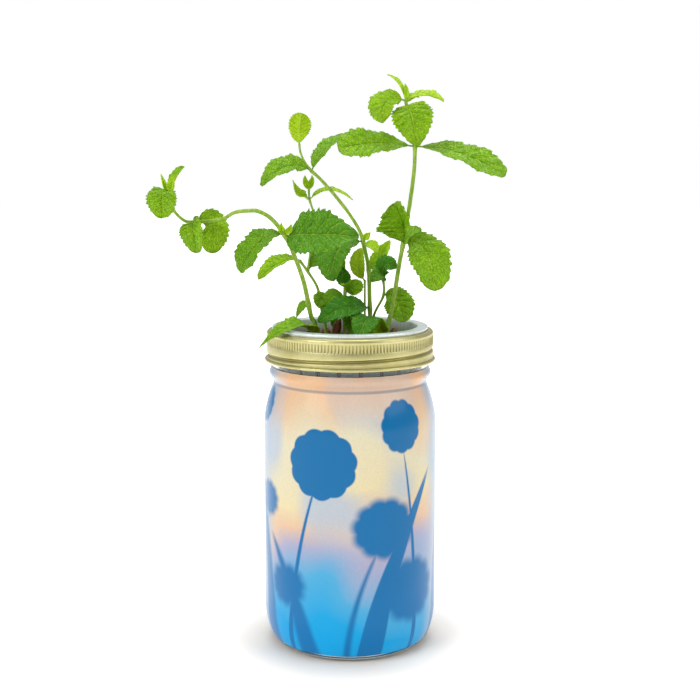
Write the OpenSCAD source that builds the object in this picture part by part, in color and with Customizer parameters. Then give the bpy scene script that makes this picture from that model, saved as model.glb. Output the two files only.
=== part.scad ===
// Hydroponic jar planter: a glass jar in a printed sleeve, a gold screw band,
// a net pot that hangs on the band's lip, a felt wick and a mint plant.
// Origin: centre of the jar's foot, +Z up, -Y towards the viewer. Sizes in mm.

/* [Jar] */
// Radius of the straight glass wall
body_r = 45.15; // [43:0.05:47]
// Outer radius of the foot, where the curved heel starts
foot_r = 37.6; // [34:0.1:40]
// Height of the curved heel
heel_h = 21.5; // [12:0.5:26]
// Height at which the shoulder starts
shoulder_z = 117; // [100:1:120]
// Height of the narrow waist under the neck
waist_z = 138.5; // [134:0.5:140]
// Radius of the waist
waist_r = 39.8; // [39.5:0.1:41]
// Radius of the bead under the neck finish
bead_r = 42.3; // [41.6:0.1:42.5]
// Radius of the neck between the threads
neck_r = 41.2; // [40.9:0.1:41.3]
// Height of the glass rim
rim_z = 165; // [164:0.1:165.2]
// Radius of the mouth's bore
mouth_r = 37.8; // [37.5:0.1:38.1]
// Thickness of the side wall
wall = 3.4; // [2.5:0.1:4]
// Height of the floor inside the jar
floor_z = 7.5; // [6:0.5:9]

/* [Thread] */
// Rise in one turn, four threads to the inch
lead = 6.35; // [6:0.05:6.5]
// Outer radius of the glass thread
thread_r = 42.6; // [42.3:0.1:42.7]
// Height of the band's formed thread at the left side
groove_z = 152.7; // [152.5:0.1:153]

/* [Print sleeve] */
// Thickness of the printed film
film = 0.12; // [0.1:0.01:0.15]
// Lower and upper edge of the film
sleeve_low = 2; // [1.5:0.1:4]
sleeve_top = 146.5; // [146:0.1:147]

/* [Screw band] */
// Inner radius of the skirt
skirt_in = 43; // [42.9:0.05:43.1]
// Outer radius of the skirt
skirt_out = 43.7; // [43.6:0.05:43.9]
// Outer radius of the rolled bottom edge
roll_r = 44.8; // [44.6:0.1:45]
// Height of the rolled edge's centre
roll_z = 150.3; // [150:0.1:150.5]
// Top of the lip
lip_z = 165.7; // [165.6:0.1:166]
// Radius of the hole in the lip
lip_hole_r = 39.7; // [39.5:0.1:39.9]
// Number of knurl ribs
ribs = 156; // [130:26:182]

/* [Net pot] */
// Outer radius of the flange
flange_r = 40.9; // [40.5:0.1:41.2]
// Top of the flange
flange_z = 167.6; // [167.4:0.1:168]
// Radius of the opening
pot_in = 35.3; // [35:0.1:35.5]
// Outer radius of the pot's floor
pot_low_r = 31; // [29:0.5:32]
// Height of the pot's underside
pot_z = 108; // [104:1:112]
// Thickness of the pot's sheet
sheet = 0.8; // [0.6:0.1:1]
// Slots round the pot in each row
slots = 20; // [16:2:24]

/* [Wick and medium] */
// Width of the felt wick
wick_w = 16; // [12:1:18]
// Thickness of the felt wick
wick_t = 2; // [1.5:0.1:2.2]
// Lower end of the wick
wick_low = 9.5; // [9:0.5:12]
// Height of the growing medium's surface at the pot's wall
medium_z = 157.5; // [154:0.5:159]

/* [Plant] */
// Distance from the jar's axis of the eye that sees the plant as it was laid out
eye_far = 650; // [600:1:900]
// Height of that eye
eye_z = 252; // [240:1:300]
// Share by which each mm above the pot draws the plant in towards the jar's axis
draw_in = 0.0003; // [0:0.00005:0.0005]
// Share of the squared height above the pot by which the plant is lower than its layout
sag = 0.00019; // [0:0.00001:0.0003]
// Thickness of a leaf
leaf_t = 0.5; // [0.4:0.05:0.7]
// Depth to which stems stand in the medium
root_z = 150; // [146:1:153]

/* [Hidden] */

$fn = 96;
gap = 0.03;          // film stands this far off the glass
ring_t = 0.6;        // thickness of the seat ring
roll_section = 0.85; // section radius of the rolled edge
lip_t = 0.4;         // thickness of the band's lip
knurl_low = 158.8;   // heights between which the knurl lies
knurl_high = 163;
rib_low_r = 43.4;    // radii of the knurl's grooves and ribs
rib_high_r = 43.7;
tall_lean = 10;      // how far sprigs lean back in each 100 mm of height
middle_lean = 30;
runner_lean = -30;
left_lean = 20;
sides = 8;           // sides of a stem
steps = 3;           // rings in each stretch of a stem

glass_green = [0.86, 0.93, 0.92, 0.5];
peach = [0.86, 0.76, 0.63];
gold = [0.78, 0.74, 0.53];
steel = [0.85, 0.89, 0.89];
coir = [0.30, 0.15, 0.08];
stem_green = [0.55, 0.70, 0.30];
leaf_green = [0.30, 0.52, 0.12];
leaf_light = [0.47, 0.68, 0.18];

// Half a wave from a to b as f goes from 0 to 1
function ease(a, b, f) = a + (b - a) * (1 - cos(180 * f)) / 2;

// Outline of the glass, from the foot to where the neck starts
function glass_line(grow = 0) = concat(
    [for (a = [0:9:90])
        [foot_r + grow + (body_r - foot_r) * sin(a), 0.5 + (heel_h - 0.5) * (1 - cos(a))]],
    [for (f = [0:0.125:1])
        [body_r + grow - (body_r - waist_r) * pow(f, 1.75), shoulder_z + (waist_z - shoulder_z) * f]],
    [for (f = [0.2:0.2:1]) [ease(waist_r, bead_r, f) + grow, waist_z + 5 * f]],
    [for (f = [0.25:0.25:1]) [ease(bead_r, neck_r, f) + grow, waist_z + 5 + 3.5 * f]]
);

// The part of an outline between two heights
function between(line, low, high) = [for (p = line) if (p[1] > low && p[1] < high) p];
function back(list) = [for (i = [len(list) - 1:-1:0]) list[i]];

// A strip with a section of radii and half heights, wound up a helix of the thread's lead
module helix(low_r, high_r, low_half, high_half, z, from, to, fade = 20) {
    turn = 10;
    count = floor((to - from) / turn);
    function tip(a) = low_r + (high_r - low_r) * min(1, (a - from + 4) / fade, (to - a + 4) / fade);
    points = [for (i = [0:count]) let (
            a = from + i * turn,
            c = z + lead * (a - 180) / 360,
            r = tip(a)
        ) each [
            for (p = [[low_r, -low_half], [r, -high_half], [r, high_half], [low_r, low_half]])
                [p[0] * cos(a), p[0] * sin(a), c + p[1]]
        ]];
    out = high_r > low_r;
    walls = [for (i = [0:count - 1], k = [0:3]) let (
            a = 4 * i + k, b = 4 * i + (k + 1) % 4
        ) each [[a, b, b + 4], [a, b + 4, a + 4]]];
    last = 4 * count;
    ends = [[0, 2, 1], [0, 3, 2], [last, last + 1, last + 2], [last, last + 2, last + 3]];
    faces = concat(walls, ends);
    polyhedron(points, out ? [for (f = faces) back(f)] : faces);
}

// Jar

module glass_jar() color(glass_green) {
    outer = glass_line();
    inner = [
        [mouth_r + 0.6, rim_z], [mouth_r, rim_z - 0.6], [mouth_r, waist_z - 4],
        for (f = [0.8:-0.2:0])
            [body_r - wall - (body_r - wall - mouth_r) * pow(f, 1.75),
                shoulder_z + (waist_z - 4 - shoulder_z) * f],
        for (a = [90:-15:0])
            [28 + (body_r - wall - 28) * sin(a), floor_z + 15 * (1 - cos(a))],
        [0, floor_z]
    ];
    base = [[0, 3], [24, 2.6], [31, 1], [33.5, 0], [foot_r - 0.8, 0]];
    union() {
        rotate_extrude()
            polygon(concat(base, outer, [[neck_r, rim_z - 0.9], [neck_r - 0.8, rim_z]], inner));
        helix(neck_r - 0.6, thread_r, 1.5, 0.6, groove_z + 3, 180, 560);
    }
}

module print_sleeve() color(peach) {
    rotate_extrude() polygon(concat(
        between(glass_line(gap + film), sleeve_low, sleeve_top),
        back(between(glass_line(gap), sleeve_low, sleeve_top))
    ));
}

// Closing parts

// The band is one formed sheet, so its section is carried round in steps. The thread
// is rolled in: its groove outside is its ridge inside. It fades out at the back.

// Height and share of depth of the formed thread at an angle from 160 to 520
function thread_z(a) = let (low = groove_z - lead * 10 / 360, high = groove_z + lead * 260 / 360)
    a < 440 ? max(low, groove_z + lead * (a - 180) / 360) : high + (low - high) * (a - 440) / 80;
function thread_depth(a) = max(0, min(1, (a - 160) / 20, (460 - a) / 20));

// Section of the sheet outside, from the rolled edge up to the knurl
function skirt_outside(a) = let (z = thread_z(a), deep = skirt_out - 1.2 * thread_depth(a)) concat(
    [for (b = [200:40:440])
        [roll_r - roll_section * (1 - cos(b)), roll_z + roll_section * sin(b)]],
    [[skirt_out, 151.3], [skirt_out, z - 1.2], [deep, z - 0.35], [deep, z + 0.35],
        [skirt_out, z + 1.2], [skirt_out, knurl_low - 0.2]]
);

// Section from above the knurl over the lip and down inside
function skirt_inside(a) = let (z = thread_z(a), deep = skirt_in - 1.1 * thread_depth(a)) concat(
    [for (b = [0:30:90]) [skirt_out - 1.8 * (1 - cos(b)), lip_z - 1.8 * (1 - sin(b))]],
    [[lip_hole_r, lip_z], [lip_hole_r, lip_z - lip_t], [skirt_in - 1, lip_z - lip_t],
        [skirt_in - 0.3, lip_z - 0.9], [skirt_in, lip_z - 1.8],
        [skirt_in, z + 1.2], [deep, z + 0.35], [deep, z - 0.35], [skirt_in, z - 1.2],
        [skirt_in, 151.2]]
);

module screw_band() {
    coarse = 52;
    fine = 2 * ribs;
    per = fine / coarse;
    mid = floor(per / 2);
    function turned(p, a) = [p[0] * cos(a), p[0] * sin(a), p[1]];
    angles = [for (j = [0:coarse - 1]) 160 + 360 * j / coarse];
    low = [for (a = angles) skirt_outside(a)];
    high = [for (a = angles) skirt_inside(a)];
    rows_low = len(low[0]);
    rows_high = len(high[0]);
    rib_start = rows_low * coarse;
    high_start = rib_start + 2 * fine;
    points = concat(
        [for (i = [0:rows_low - 1], j = [0:coarse - 1]) turned(low[j][i], angles[j])],
        [for (z = [knurl_low, knurl_high], k = [0:fine - 1])
            turned([k % 2 == 0 ? rib_low_r : rib_high_r, z], 160 + 360 * k / fine)],
        [for (i = [0:rows_high - 1], j = [0:coarse - 1]) turned(high[j][i], angles[j])]
    );
    function bands(start, count, around) = [for (i = [0:count - 2], j = [0:around - 1]) let (
            a = start + i * around + j, b = start + i * around + (j + 1) % around
        ) each [[a, b, b + around], [a, b + around, a + around]]];
    // Joins a ring of coarse points to a ring of knurl points above it
    function stitch(ring, knurl) = [for (j = [0:coarse - 1]) let (
            a = ring + j, b = ring + (j + 1) % coarse, k = j * per
        ) each concat(
            [for (m = [0:mid - 1]) [a, knurl + (k + m + 1) % fine, knurl + k + m]],
            [[a, b, knurl + k + mid]],
            [for (m = [mid:per - 1]) [b, knurl + (k + m + 1) % fine, knurl + (k + m) % fine]]
        )];
    // The last ring inside closes on the first ring of the rolled edge
    closing = [for (j = [0:coarse - 1]) let (
            a = high_start + (rows_high - 1) * coarse + j,
            b = high_start + (rows_high - 1) * coarse + (j + 1) % coarse
        ) each [[a, b, (j + 1) % coarse], [a, (j + 1) % coarse, j]]];
    faces = concat(
        bands(0, rows_low, coarse),
        stitch((rows_low - 1) * coarse, rib_start),
        bands(rib_start, 2, fine),
        [for (f = stitch(high_start, rib_start + fine)) back(f)],
        bands(high_start, rows_high, coarse),
        closing
    );
    color(gold) polyhedron(points, [for (f = faces) back(f)]);
}

module seat_ring() color("white") {
    translate([0, 0, lip_z + gap]) difference() {
        cylinder(ring_t, r = flange_r - 0.5);
        translate([0, 0, -1]) cylinder(ring_t + 2, r = pot_in + 2);
    }
}

// Pot and what it holds

function pot_outer(z) = pot_low_r + (pot_in + sheet - pot_low_r) * (z - pot_z) / (flange_z - pot_z);

module net_pot() color(steel) {
    under = lip_z + ring_t + 2 * gap;
    lip = [for (a = [0:30:90]) [flange_r - 0.6 + 0.6 * cos(a), flange_z - 0.6 + 0.6 * sin(a)]];
    throat = [for (a = [0:30:90]) [pot_in + 0.8 - 0.8 * sin(a), flange_z - 0.8 + 0.8 * cos(a)]];
    difference() {
        rotate_extrude() polygon(concat(
            [[0, pot_z], [pot_low_r, pot_z], [pot_outer(under), under], [flange_r, under]],
            lip, throat,
            [[pot_low_r - sheet, pot_z + sheet], [0, pot_z + sheet]]
        ));
        for (row = [0:1], i = [0:slots / 2 - 1])
            rotate(180 * (i + row / 2) / (slots / 2)) translate([-50, -1.1, pot_z + 7 + 20 * row])
                cube([100, 2.2, 15]);
        translate([-wick_w / 2 - 0.7, -wick_t / 2 - 0.4, pot_z - 1])
            cube([wick_w + 1.4, wick_t + 0.8, 4]);
        for (a = [0:45:315]) rotate(a + 22.5) translate([21, 0, pot_z - 1]) cylinder(4, r = 2.2, $fn = 32);
    }
}

module felt_wick() color("ivory") {
    translate([-wick_w / 2, -wick_t / 2, wick_low]) cube([wick_w, wick_t, 138 - wick_low]);
}

module coco_medium() color(coir) {
    low = pot_z + sheet + 0.3;
    difference() {
        rotate_extrude() polygon(concat(
            [[0, low], [pot_outer(low) - sheet - 0.3, low], [pot_outer(medium_z) - sheet - 0.3, medium_z]],
            [for (f = [0.2:0.2:1]) [(1 - f) * 34.2, medium_z + 2.2 * sin(90 * f)]]
        ));
        translate([-wick_w / 2 - 0.2, -wick_t / 2 - 0.2, low - 1]) cube([wick_w + 0.4, wick_t + 0.4, 30]);
    }
}

// A rough lump: centre, half sizes, and a number that varies its shape
module lump(at, size, kind) {
    around = 7;
    rows = 5;
    function bump(i, k) = 0.86 + 0.14 * sin(97 * i * kind + 151 * k + 40 * kind);
    points = concat(
        [[0, 0, -size[2]]],
        [for (i = [1:rows], k = [0:around - 1]) let (
                t = 180 * i / (rows + 1), a = 360 * k / around + 20 * i, s = bump(i, k)
            ) [size[0] * s * sin(t) * cos(a), size[1] * s * sin(t) * sin(a), -size[2] * cos(t)]],
        [[0, 0, size[2]]]
    );
    last = rows * around + 1;
    top = last - around;
    faces = concat(
        [for (k = [0:around - 1]) [0, 1 + k, 1 + (k + 1) % around]],
        [for (i = [0:rows - 2], k = [0:around - 1]) let (
                a = 1 + i * around + k, b = 1 + i * around + (k + 1) % around
            ) each [[a, a + around, b], [b, a + around, b + around]]],
        [for (k = [0:around - 1]) [last, top + (k + 1) % around, top + k]]
    );
    translate(at) rotate([12 * kind, 9 * kind, 50 * kind]) polyhedron(points, faces);
}

// Pieces of husk on the surface: centre, half sizes
chunks = [
    [[-7, 5, 164], [2.6, 2.4, 6.5]], [[22.5, 4, 161.5], [2.2, 2.4, 4.5]],
    [[-22, 7, 162], [4.5, 2, 1.6]], [[12.5, 19, 163], [3.4, 2.6, 3]],
    [[-14, -4, 160.5], [3.4, 3, 2.4]], [[4, 16, 161], [4, 3, 2.6]],
    [[1, -19, 159.5], [4, 3, 2.4]], [[17, -14, 160], [3.6, 2.8, 2.6]],
    [[-13, 21, 160], [3.6, 3, 2.6]], [[26, 12, 159.5], [3, 2.8, 2.4]],
    [[-26, -9, 159], [3, 2.6, 2.2]], [[-9, -25, 159], [3.2, 2.6, 2.2]]
];

module coco_chunks() color([0.38, 0.17, 0.08]) {
    for (i = [0:len(chunks) - 1]) lump(chunks[i][0], chunks[i][1], i + 1);
}

// Stems

// A smooth curve through the points, with some steps in each stretch
function smooth(p) = [
    for (i = [0:len(p) - 2], k = [0:steps - 1]) let (
        a = p[max(0, i - 1)], b = p[i], c = p[i + 1], d = p[min(len(p) - 1, i + 2)], t = k / steps
    ) 0.5 * (2 * b + (c - a) * t + (2 * a - 5 * b + 4 * c - d) * t * t
        + (3 * b - a - 3 * c + d) * t * t * t),
    p[len(p) - 1]
];
function unit(v) = v / norm(v);

// A sprig leans back by $lean in each 100 mm above the pot, or forward if that is
// negative. Its points move along the eye's line of sight, so the front view stays.
$lean = 0;
function leant(p) = let (
        high = max(0, p[2] - 160),
        x = p[0] * (1 - draw_in * high),
        z = p[2] - sag * high * high,
        back_by = $lean * high / 100,
        s = (eye_far + p[1] + back_by) / (eye_far + p[1])
    ) [x * s, p[1] + back_by, eye_z + (z - eye_z) * s];

// A tube along a route, from one radius to another
module stem(route, from_r, to_r) {
    path = smooth([for (p = route) leant(p)]);
    n = len(path);
    points = [for (i = [0:n - 1]) let (
            t = unit(path[min(n - 1, i + 1)] - path[max(0, i - 1)]),
            side = unit(cross(t, [0.2, 1, 0.1])),
            up = cross(side, t),
            r = from_r + (to_r - from_r) * i / (n - 1)
        ) each [for (k = [0:sides - 1]) let (a = 360 * k / sides)
            path[i] + r * (side * cos(a) + up * sin(a))]];
    walls = [for (i = [0:n - 2], k = [0:sides - 1]) let (
            a = sides * i + k, b = sides * i + (k + 1) % sides
        ) each [[a, b, b + sides], [a, b + sides, a + sides]]];
    ends = [
        for (k = [1:sides - 2]) [0, k + 1, k],
        for (k = [1:sides - 2]) [sides * (n - 1), sides * (n - 1) + k, sides * (n - 1) + k + 1]
    ];
    color(stem_green) polyhedron(points, [for (f = concat(walls, ends)) back(f)]);
}

tall_route = [[18, 2, root_z], [19.5, 2, 164], [23, 2, 180], [26, 1, 199], [29, 0, 215],
    [32, -2, 234], [34, -4, 250], [34.5, -5, 262]];
tall_tip_route = [[34.5, -5, 262], [32.5, -5, 274], [29.5, -6, 287]];
middle_route = [[11.5, 8, root_z], [11, 8, 163], [10.5, 8, 179], [10, 7, 196], [8, 6, 207],
    [5.5, 4, 216.5], [0, 2, 226], [-8, 0, 236.5], [-16, -2, 245.5], [-20.5, -3, 249.5]];
middle_tip_route = [[-20.5, -3, 249.5], [-24.5, -2.5, 255], [-26.5, -2, 260], [-27, -2, 264]];
runner_route = [[-17, -8, root_z], [-18, -8, 168], [-20.5, -8, 174], [-24, -10, 191],
    [-29, -12, 205.5], [-33.5, -14, 215.5], [-40.5, -15, 224.5], [-47, -16, 228.5],
    [-52, -16, 229], [-60, -15, 228], [-65.5, -15, 225], [-74, -14, 223.5], [-80.5, -13, 223],
    [-86, -12, 223.5], [-91, -11, 227.5], [-93.5, -10, 231.5], [-95, -10, 237]];
left_route = [[-12.5, 10, root_z], [-13, 10, 164], [-15.5, 10, 176.5], [-17.5, 9, 186.5],
    [-22.5, 8, 195], [-27, 6, 201.5]];
slim_route = [[-22.5, 8, 195], [-22, 9.5, 201], [-20.5, 12, 212], [-19.5, 15, 224.5],
    [-22, 17, 233.5], [-22.5, 18, 239]];
pale_route = [[8, 16, root_z], [8, 16, 177.5], [8, 16, 190]];
dark_route = [[11, 14, root_z], [12.5, 14, 169.5], [18, 14, 181.5], [18, 13, 190]];
short_route = [[-2, 4, root_z], [-3, 5, 170], [-2.5, 6, 187]];

module stem_tall() {
    $lean = tall_lean;
    stem(tall_route, 1.3, 1);
    stem(tall_tip_route, 0.9, 0.7);
}
module stem_middle() {
    $lean = middle_lean;
    stem(middle_route, 1.2, 0.8);
    stem(middle_tip_route, 0.75, 0.5);
}
module stem_runner() {
    $lean = runner_lean;
    stem(runner_route, 1.3, 0.7);
}
module stem_left() {
    $lean = left_lean;
    stem(left_route, 0.9, 0.7);
}
module stem_slim() {
    $lean = left_lean;
    stem(slim_route, 0.65, 0.5);
}
module stem_pale() { stem(pale_route, 0.6, 0.5); }
module stem_dark() { stem(dark_route, 0.7, 0.6); }
module stem_short() { stem(short_route, 0.9, 0.8); }

// Leaves

// Half width of a leaf at a place along it: a thin stalk, then the blade. Broad is 1
// on a pointed leaf, and more on a leaf that is rounder and wider towards its tip
stalk = 0.07;
function half_width(t, half, broad) = let (
        s = (t - stalk) / (1 - stalk),
        widest = 0.4 + 0.6 * (broad - 1)
    ) s <= 0 ? 0.45
        : max(0.45, half * pow(sin(180 * pow(s, ln(0.5) / ln(widest))), 0.85 / (broad * broad)));

// A leaf bends along a curve from its base past a pull point to its tip. The face
// is the way its upper side looks, fold lifts both halves like a V.
module leaf(base, pull, tip, half, face, fold = 20, broad = 1, tint = leaf_green) {
    a = leant(base);
    b = leant(pull);
    c = leant(tip);
    places = half > 5 ? [0, stalk, 0.13, 0.24, 0.38, 0.53, 0.68, 0.82, 0.93, 0.98, 1]
        : [0, stalk, 0.2, 0.4, 0.62, 0.82, 0.95, 1];
    along = len(places) - 1;
    across = half > 5 ? 4 : 2;
    row = across + 1;
    function place(t) = (1 - t) * (1 - t) * a + 2 * t * (1 - t) * b + t * t * c;
    function run(t) = unit((1 - t) * (b - a) + t * (c - b));
    function skin(lift) = [for (i = [0:along], k = [0:across]) let (
            t = places[i],
            side = unit(cross(run(t), face)),
            up = cross(side, run(t)),
            u = 2 * k / across - 1,
            w = half_width(t, half, broad)
        ) place(t) + side * u * w * cos(fold) + up * (abs(u) * w * sin(fold) + lift)];
    points = concat(skin(leaf_t / 2), skin(-leaf_t / 2));
    under = row * (along + 1);
    tops = [for (i = [0:along - 1], k = [0:across - 1]) let (a = i * row + k)
        each [[a, a + 1, a + row + 1], [a, a + row + 1, a + row]]];
    long_edges = [for (i = [0:along - 1]) let (a = i * row, b = i * row + across) each [
            [a, a + row, under + a + row], [a, under + a + row, under + a],
            [b, under + b + row, b + row], [b, under + b, under + b + row]
        ]];
    short_edges = [for (k = [0:across - 1]) let (a = k, b = along * row + k) each [
            [a, under + a + 1, a + 1], [a, under + a, under + a + 1],
            [b, b + 1, under + b + 1], [b, under + b + 1, under + b]
        ]];
    faces = concat(tops, [for (f = tops) back(f) + [under, under, under]], long_edges, short_edges);
    color(tint) polyhedron(points, faces);
}

module leaves_tall_top() {
    $lean = tall_lean;
    leaf([30, -6, 284.5], [32.5, -16, 283], [35, -14, 262.5], 10.8, [0, -1, 0.5], 12, 1.12);
    leaf([29.3, -6.1, 287], [15, -9, 291], [17.5, -13, 275], 9, [-0.5, -0.7, 0.5], 12, 1.2, leaf_light);
    leaf([29.7, -6, 287.1], [40, -4, 293], [50, -3, 286.5], 5.2, [0.1, -0.35, 1], 20, 1.35, leaf_light);
    leaf([29.4, -6, 287.1], [27, -4, 298], [20, -3, 301], 2.6, [1, -0.6, 0.3], 25, 1, leaf_light);
    leaf([29.6, -6.2, 287.2], [30.2, -5, 292], [29.4, -4.6, 296], 1.6, [0.3, -1, 0], 30, 1);
    leaf([29.9, -5.7, 285.6], [34, -1, 291], [37, 3, 289], 3.4, [0, -0.6, 1], 25, 1, leaf_light);
}
module leaves_tall_upper() {
    $lean = tall_lean;
    leaf([34, -5, 262.6], [12, -7, 266.5], [-6, -10, 261], 10, [0.1, -0.7, 0.7], 10, 1.5);
    leaf([34.8, -5, 262.5], [58, -7, 263], [81.5, -9, 247], 10.2, [0.25, -0.6, 0.8], 10, 1.5);
    leaf([34.9, -5.2, 262.3], [36.5, -6, 264.5], [38, -7, 267.5], 1.4, [0.4, -1, 0], 30, 1, leaf_light);
}
module leaves_tall_lower() {
    $lean = tall_lean;
    leaf([28.4, -0.2, 210], [31, -8, 221], [23.5, -3, 232.5], 14.2, [-0.6, -0.75, 0.15], 45, 1.2);
    leaf([28.8, 0.1, 210.6], [42, -9, 217], [44, -13, 187], 11.8, [0.35, -0.9, 0.4], 8, 1.35);
    leaf([28.6, 0.8, 210], [33, 8, 216], [37, 12, 219], 5, [0, -0.5, 0.9], 20, 1.2);
}
module leaves_middle_top() {
    $lean = middle_lean;
    leaf([-21, -3.2, 250], [-34, -7, 257.5], [-46.5, -11, 242], 8.5, [-0.3, -0.6, 0.75], 14, 1.1);
    leaf([-20.3, -3, 249.7], [-15, 0, 262], [-2, 5, 269], 7.5, [-0.5, -0.4, 0.8], 18, 1.3);
    leaf([-27, -2, 263.5], [-28, 3, 272], [-26, 0, 280.5], 6.4, [0.1, 1, 0.2], 16, 1.4, leaf_light);
}
module leaves_middle_low() {
    $lean = middle_lean;
    leaf([7.4, 5, 211.5], [-11, -2, 214], [-9, -7, 191.5], 10, [-0.4, -0.7, 0.6], 18, 1.25);
    leaf([7.8, 5.4, 210.4], [12, 2, 211], [14.5, 0.5, 205.5], 3.6, [0.3, -0.8, 0.5], 20, 1.1, leaf_light);
    leaf([7.4, 5.2, 212], [9, 3.5, 215], [11, 2, 216.5], 2, [0.2, -1, 0.4], 25, 1, leaf_light);
    leaf([10.2, 7, 196], [15, 9, 200], [21.5, 9, 212], 4.6, [-0.4, -0.8, 0.4], 20, 1.15, leaf_light);
}
module leaf_runner_big() {
    $lean = runner_lean;
    leaf([-33, -14.5, 215.5], [-24, -24, 218.5], [4.5, -24, 216], 13.2, [0.05, -0.82, 0.55], 12, 1.12);
}
module leaves_runner_node() {
    $lean = runner_lean;
    leaf([-34.6, -14.4, 216.5], [-47, -18, 219], [-56, -22, 197.5], 9, [-0.35, -0.6, 0.7], 16, 1.42);
    leaf([-34.4, -14.6, 217], [-36, -16, 219], [-35.5, -16, 222.5], 2, [0, -1, 0.3], 25, 1, leaf_light);
    leaf([-33.8, -14.6, 216.6], [-31, -17, 219], [-30.5, -17.5, 222], 1.8, [0.3, -1, 0.3], 25, 1,
        leaf_light);
}
module leaves_runner_mid() {
    $lean = runner_lean;
    leaf([-80.8, -13.4, 222.8], [-82, -20, 226], [-78.5, -20, 207.5], 7.4, [-0.5, -0.85, 0.2], 20, 1.35);
    leaf([-80, -12.6, 223], [-70, -6, 229], [-72.5, -9, 206.5], 8.4, [0.3, -0.9, 0.3], 12, 1.35,
        leaf_light);
}
module leaves_runner_tip() {
    $lean = runner_lean;
    leaf([-95.3, -10.6, 236.8], [-98, -20, 244], [-96.5, -20, 225.5], 7.6, [-0.1, -0.95, 0.4], 12, 1.4);
    leaf([-94, -9.1, 236.2], [-94, -7, 245], [-87.5, -6, 252], 4.2, [-0.8, -0.4, 0.2], 30, 1.2);
    leaf([-95.9, -9.5, 237], [-97.5, -9.4, 243], [-99.5, -9, 248], 1.3, [0.6, -1, 0], 25, 1, leaf_light);
    leaf([-94.6, -10.3, 237.4], [-93.6, -11.4, 243], [-92, -11.6, 247], 2.3, [-0.2, -1, 0.1], 25,
        1, leaf_light);
}
module leaves_left() {
    $lean = left_lean;
    leaf([-26.8, 6, 201.5], [-37, 1, 204], [-48, -4, 192], 6, [0, -0.35, 0.9], 25, 1.2, leaf_light);
    leaf([-22.4, 8.4, 196.1], [-13, 14, 208], [-3.5, 15, 194.5], 8, [0, -0.6, 0.8], 16, 1.15);
    leaf([-14.6, 9.7, 172.9], [-13.5, 4, 185], [-17, 1, 177], 5, [0, -0.8, 0.5], 16, 1.3);
}
module leaves_slim() {
    $lean = left_lean;
    leaf([-22.5, 18, 239], [-25.4, 17.6, 243], [-24.6, 17, 247], 2, [0.5, -1, 0], 30, 1, leaf_light);
    leaf([-22.5, 18, 239], [-20, 19, 243], [-20.8, 19.4, 247], 2, [-0.5, -1, 0], 30, 1, leaf_light);
    leaf([-22, 16.9, 233.2], [-27, 15, 236], [-31, 13, 244.5], 2.7, [-0.6, -0.2, 0.75], 25, 1);
    leaf([-22, 17.1, 233.8], [-12, 19, 244], [1.5, 20, 233.5], 3.5, [0, -0.25, 1], 20, 1, leaf_light);
}
module leaf_pale() {
    leaf([8, 16, 189.5], [1, 14, 198], [6.5, 13, 207.5], 4.2, [-0.2, -1, 0.1], 14, 1.2, leaf_light);
}
module leaves_dark() {
    leaf([18, 14, 182], [26, 12, 184], [28.5, 8, 168], 8.5, [0.15, -0.9, 0.4], 10, 1.35);
    leaf([18, 13, 190.1], [16, 10, 203], [25, 9, 197], 5.5, [-0.1, -0.7, 0.6], 16, 1.2);
    leaf([17.9, 13, 189.5], [17, 7, 197], [11.5, 4, 190], 4.6, [0, -0.8, 0.6], 16, 1.15);
}
module leaves_short_top() {
    leaf([-2.6, 6.3, 186.6], [-4, 10, 190], [-4, 12, 197], 4.2, [0.1, -0.9, 0.3], 16, 1.2);
    leaf([-2.3, 5.7, 184.4], [2, 2, 187.5], [1, 0, 191.5], 6.2, [0.1, -0.9, 0.3], 14, 1.35);
    leaf([-3, 5.3, 179.9], [-8, 0, 186], [-12.5, -2, 178.5], 5, [-0.1, -0.7, 0.6], 16, 1.25);
}
module leaves_short_low() {
    leaf([-3.2, 5.3, 171], [-7, 12, 176], [-9, 14, 164], 4.4, [-0.2, -0.8, 0.5], 20, 1.1);
    leaf([-2.7, 4.9, 172], [1.5, 0.8, 175.5], [0, -1.6, 162.5], 4.4, [0, -1, 0.2], 16, 1.1);
}
module leaf_over_rim() {
    leaf([-16.9, -8.8, 161.5], [-24, -22, 179], [-46, -29, 159.5], 7.6, [-0.35, -0.45, 0.85], 18, 0.95);
}
module leaves_low() {
    leaf([18.6, 1.7, 161.1], [14, -3, 165], [17, -4, 171.5], 4.8, [0, -1, 0.2], 20, 1.2, leaf_light);
    leaf([10.4, 7.3, 175.4], [-2, -16, 183], [-16.3, -17, 171], 6.5, [0, -0.9, 0.5], 16, 1.15,
        $lean = middle_lean);
    leaf([10.4, 7.2, 168.3], [10, -12, 178], [4, -17, 162.5], 7.2, [0, -0.8, 0.6], 14, 1.25,
        $lean = middle_lean);
    leaf([-21.4, -8.4, 179.5], [-25, -6, 180], [-28, -5, 172], 2.8, [-0.6, -0.7, 0.3], 20, 1,
        $lean = runner_lean);
}

glass_jar();
print_sleeve();
screw_band();
seat_ring();
net_pot();
felt_wick();
coco_medium();
coco_chunks();
stem_tall();
stem_middle();
stem_runner();
stem_left();
stem_slim();
stem_pale();
stem_dark();
stem_short();
leaves_tall_top();
leaves_tall_upper();
leaves_tall_lower();
leaves_middle_top();
leaves_middle_low();
leaf_runner_big();
leaves_runner_node();
leaves_runner_mid();
leaves_runner_tip();
leaves_left();
leaves_slim();
leaf_pale();
leaves_dark();
leaves_short_top();
leaves_short_low();
leaf_over_rim();
leaves_low();
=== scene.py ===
"""Looks of a hydroponic jar planter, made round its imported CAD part.

Sizes are in mm until they are placed, and angles of the screw thread are in degrees.
"""

import functools
import random
from math import atan2, cos, degrees, exp, hypot, log, pi, radians, sin, sqrt, tau

import bmesh
import bpy
from mathutils import Euler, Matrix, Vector, noise


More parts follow.
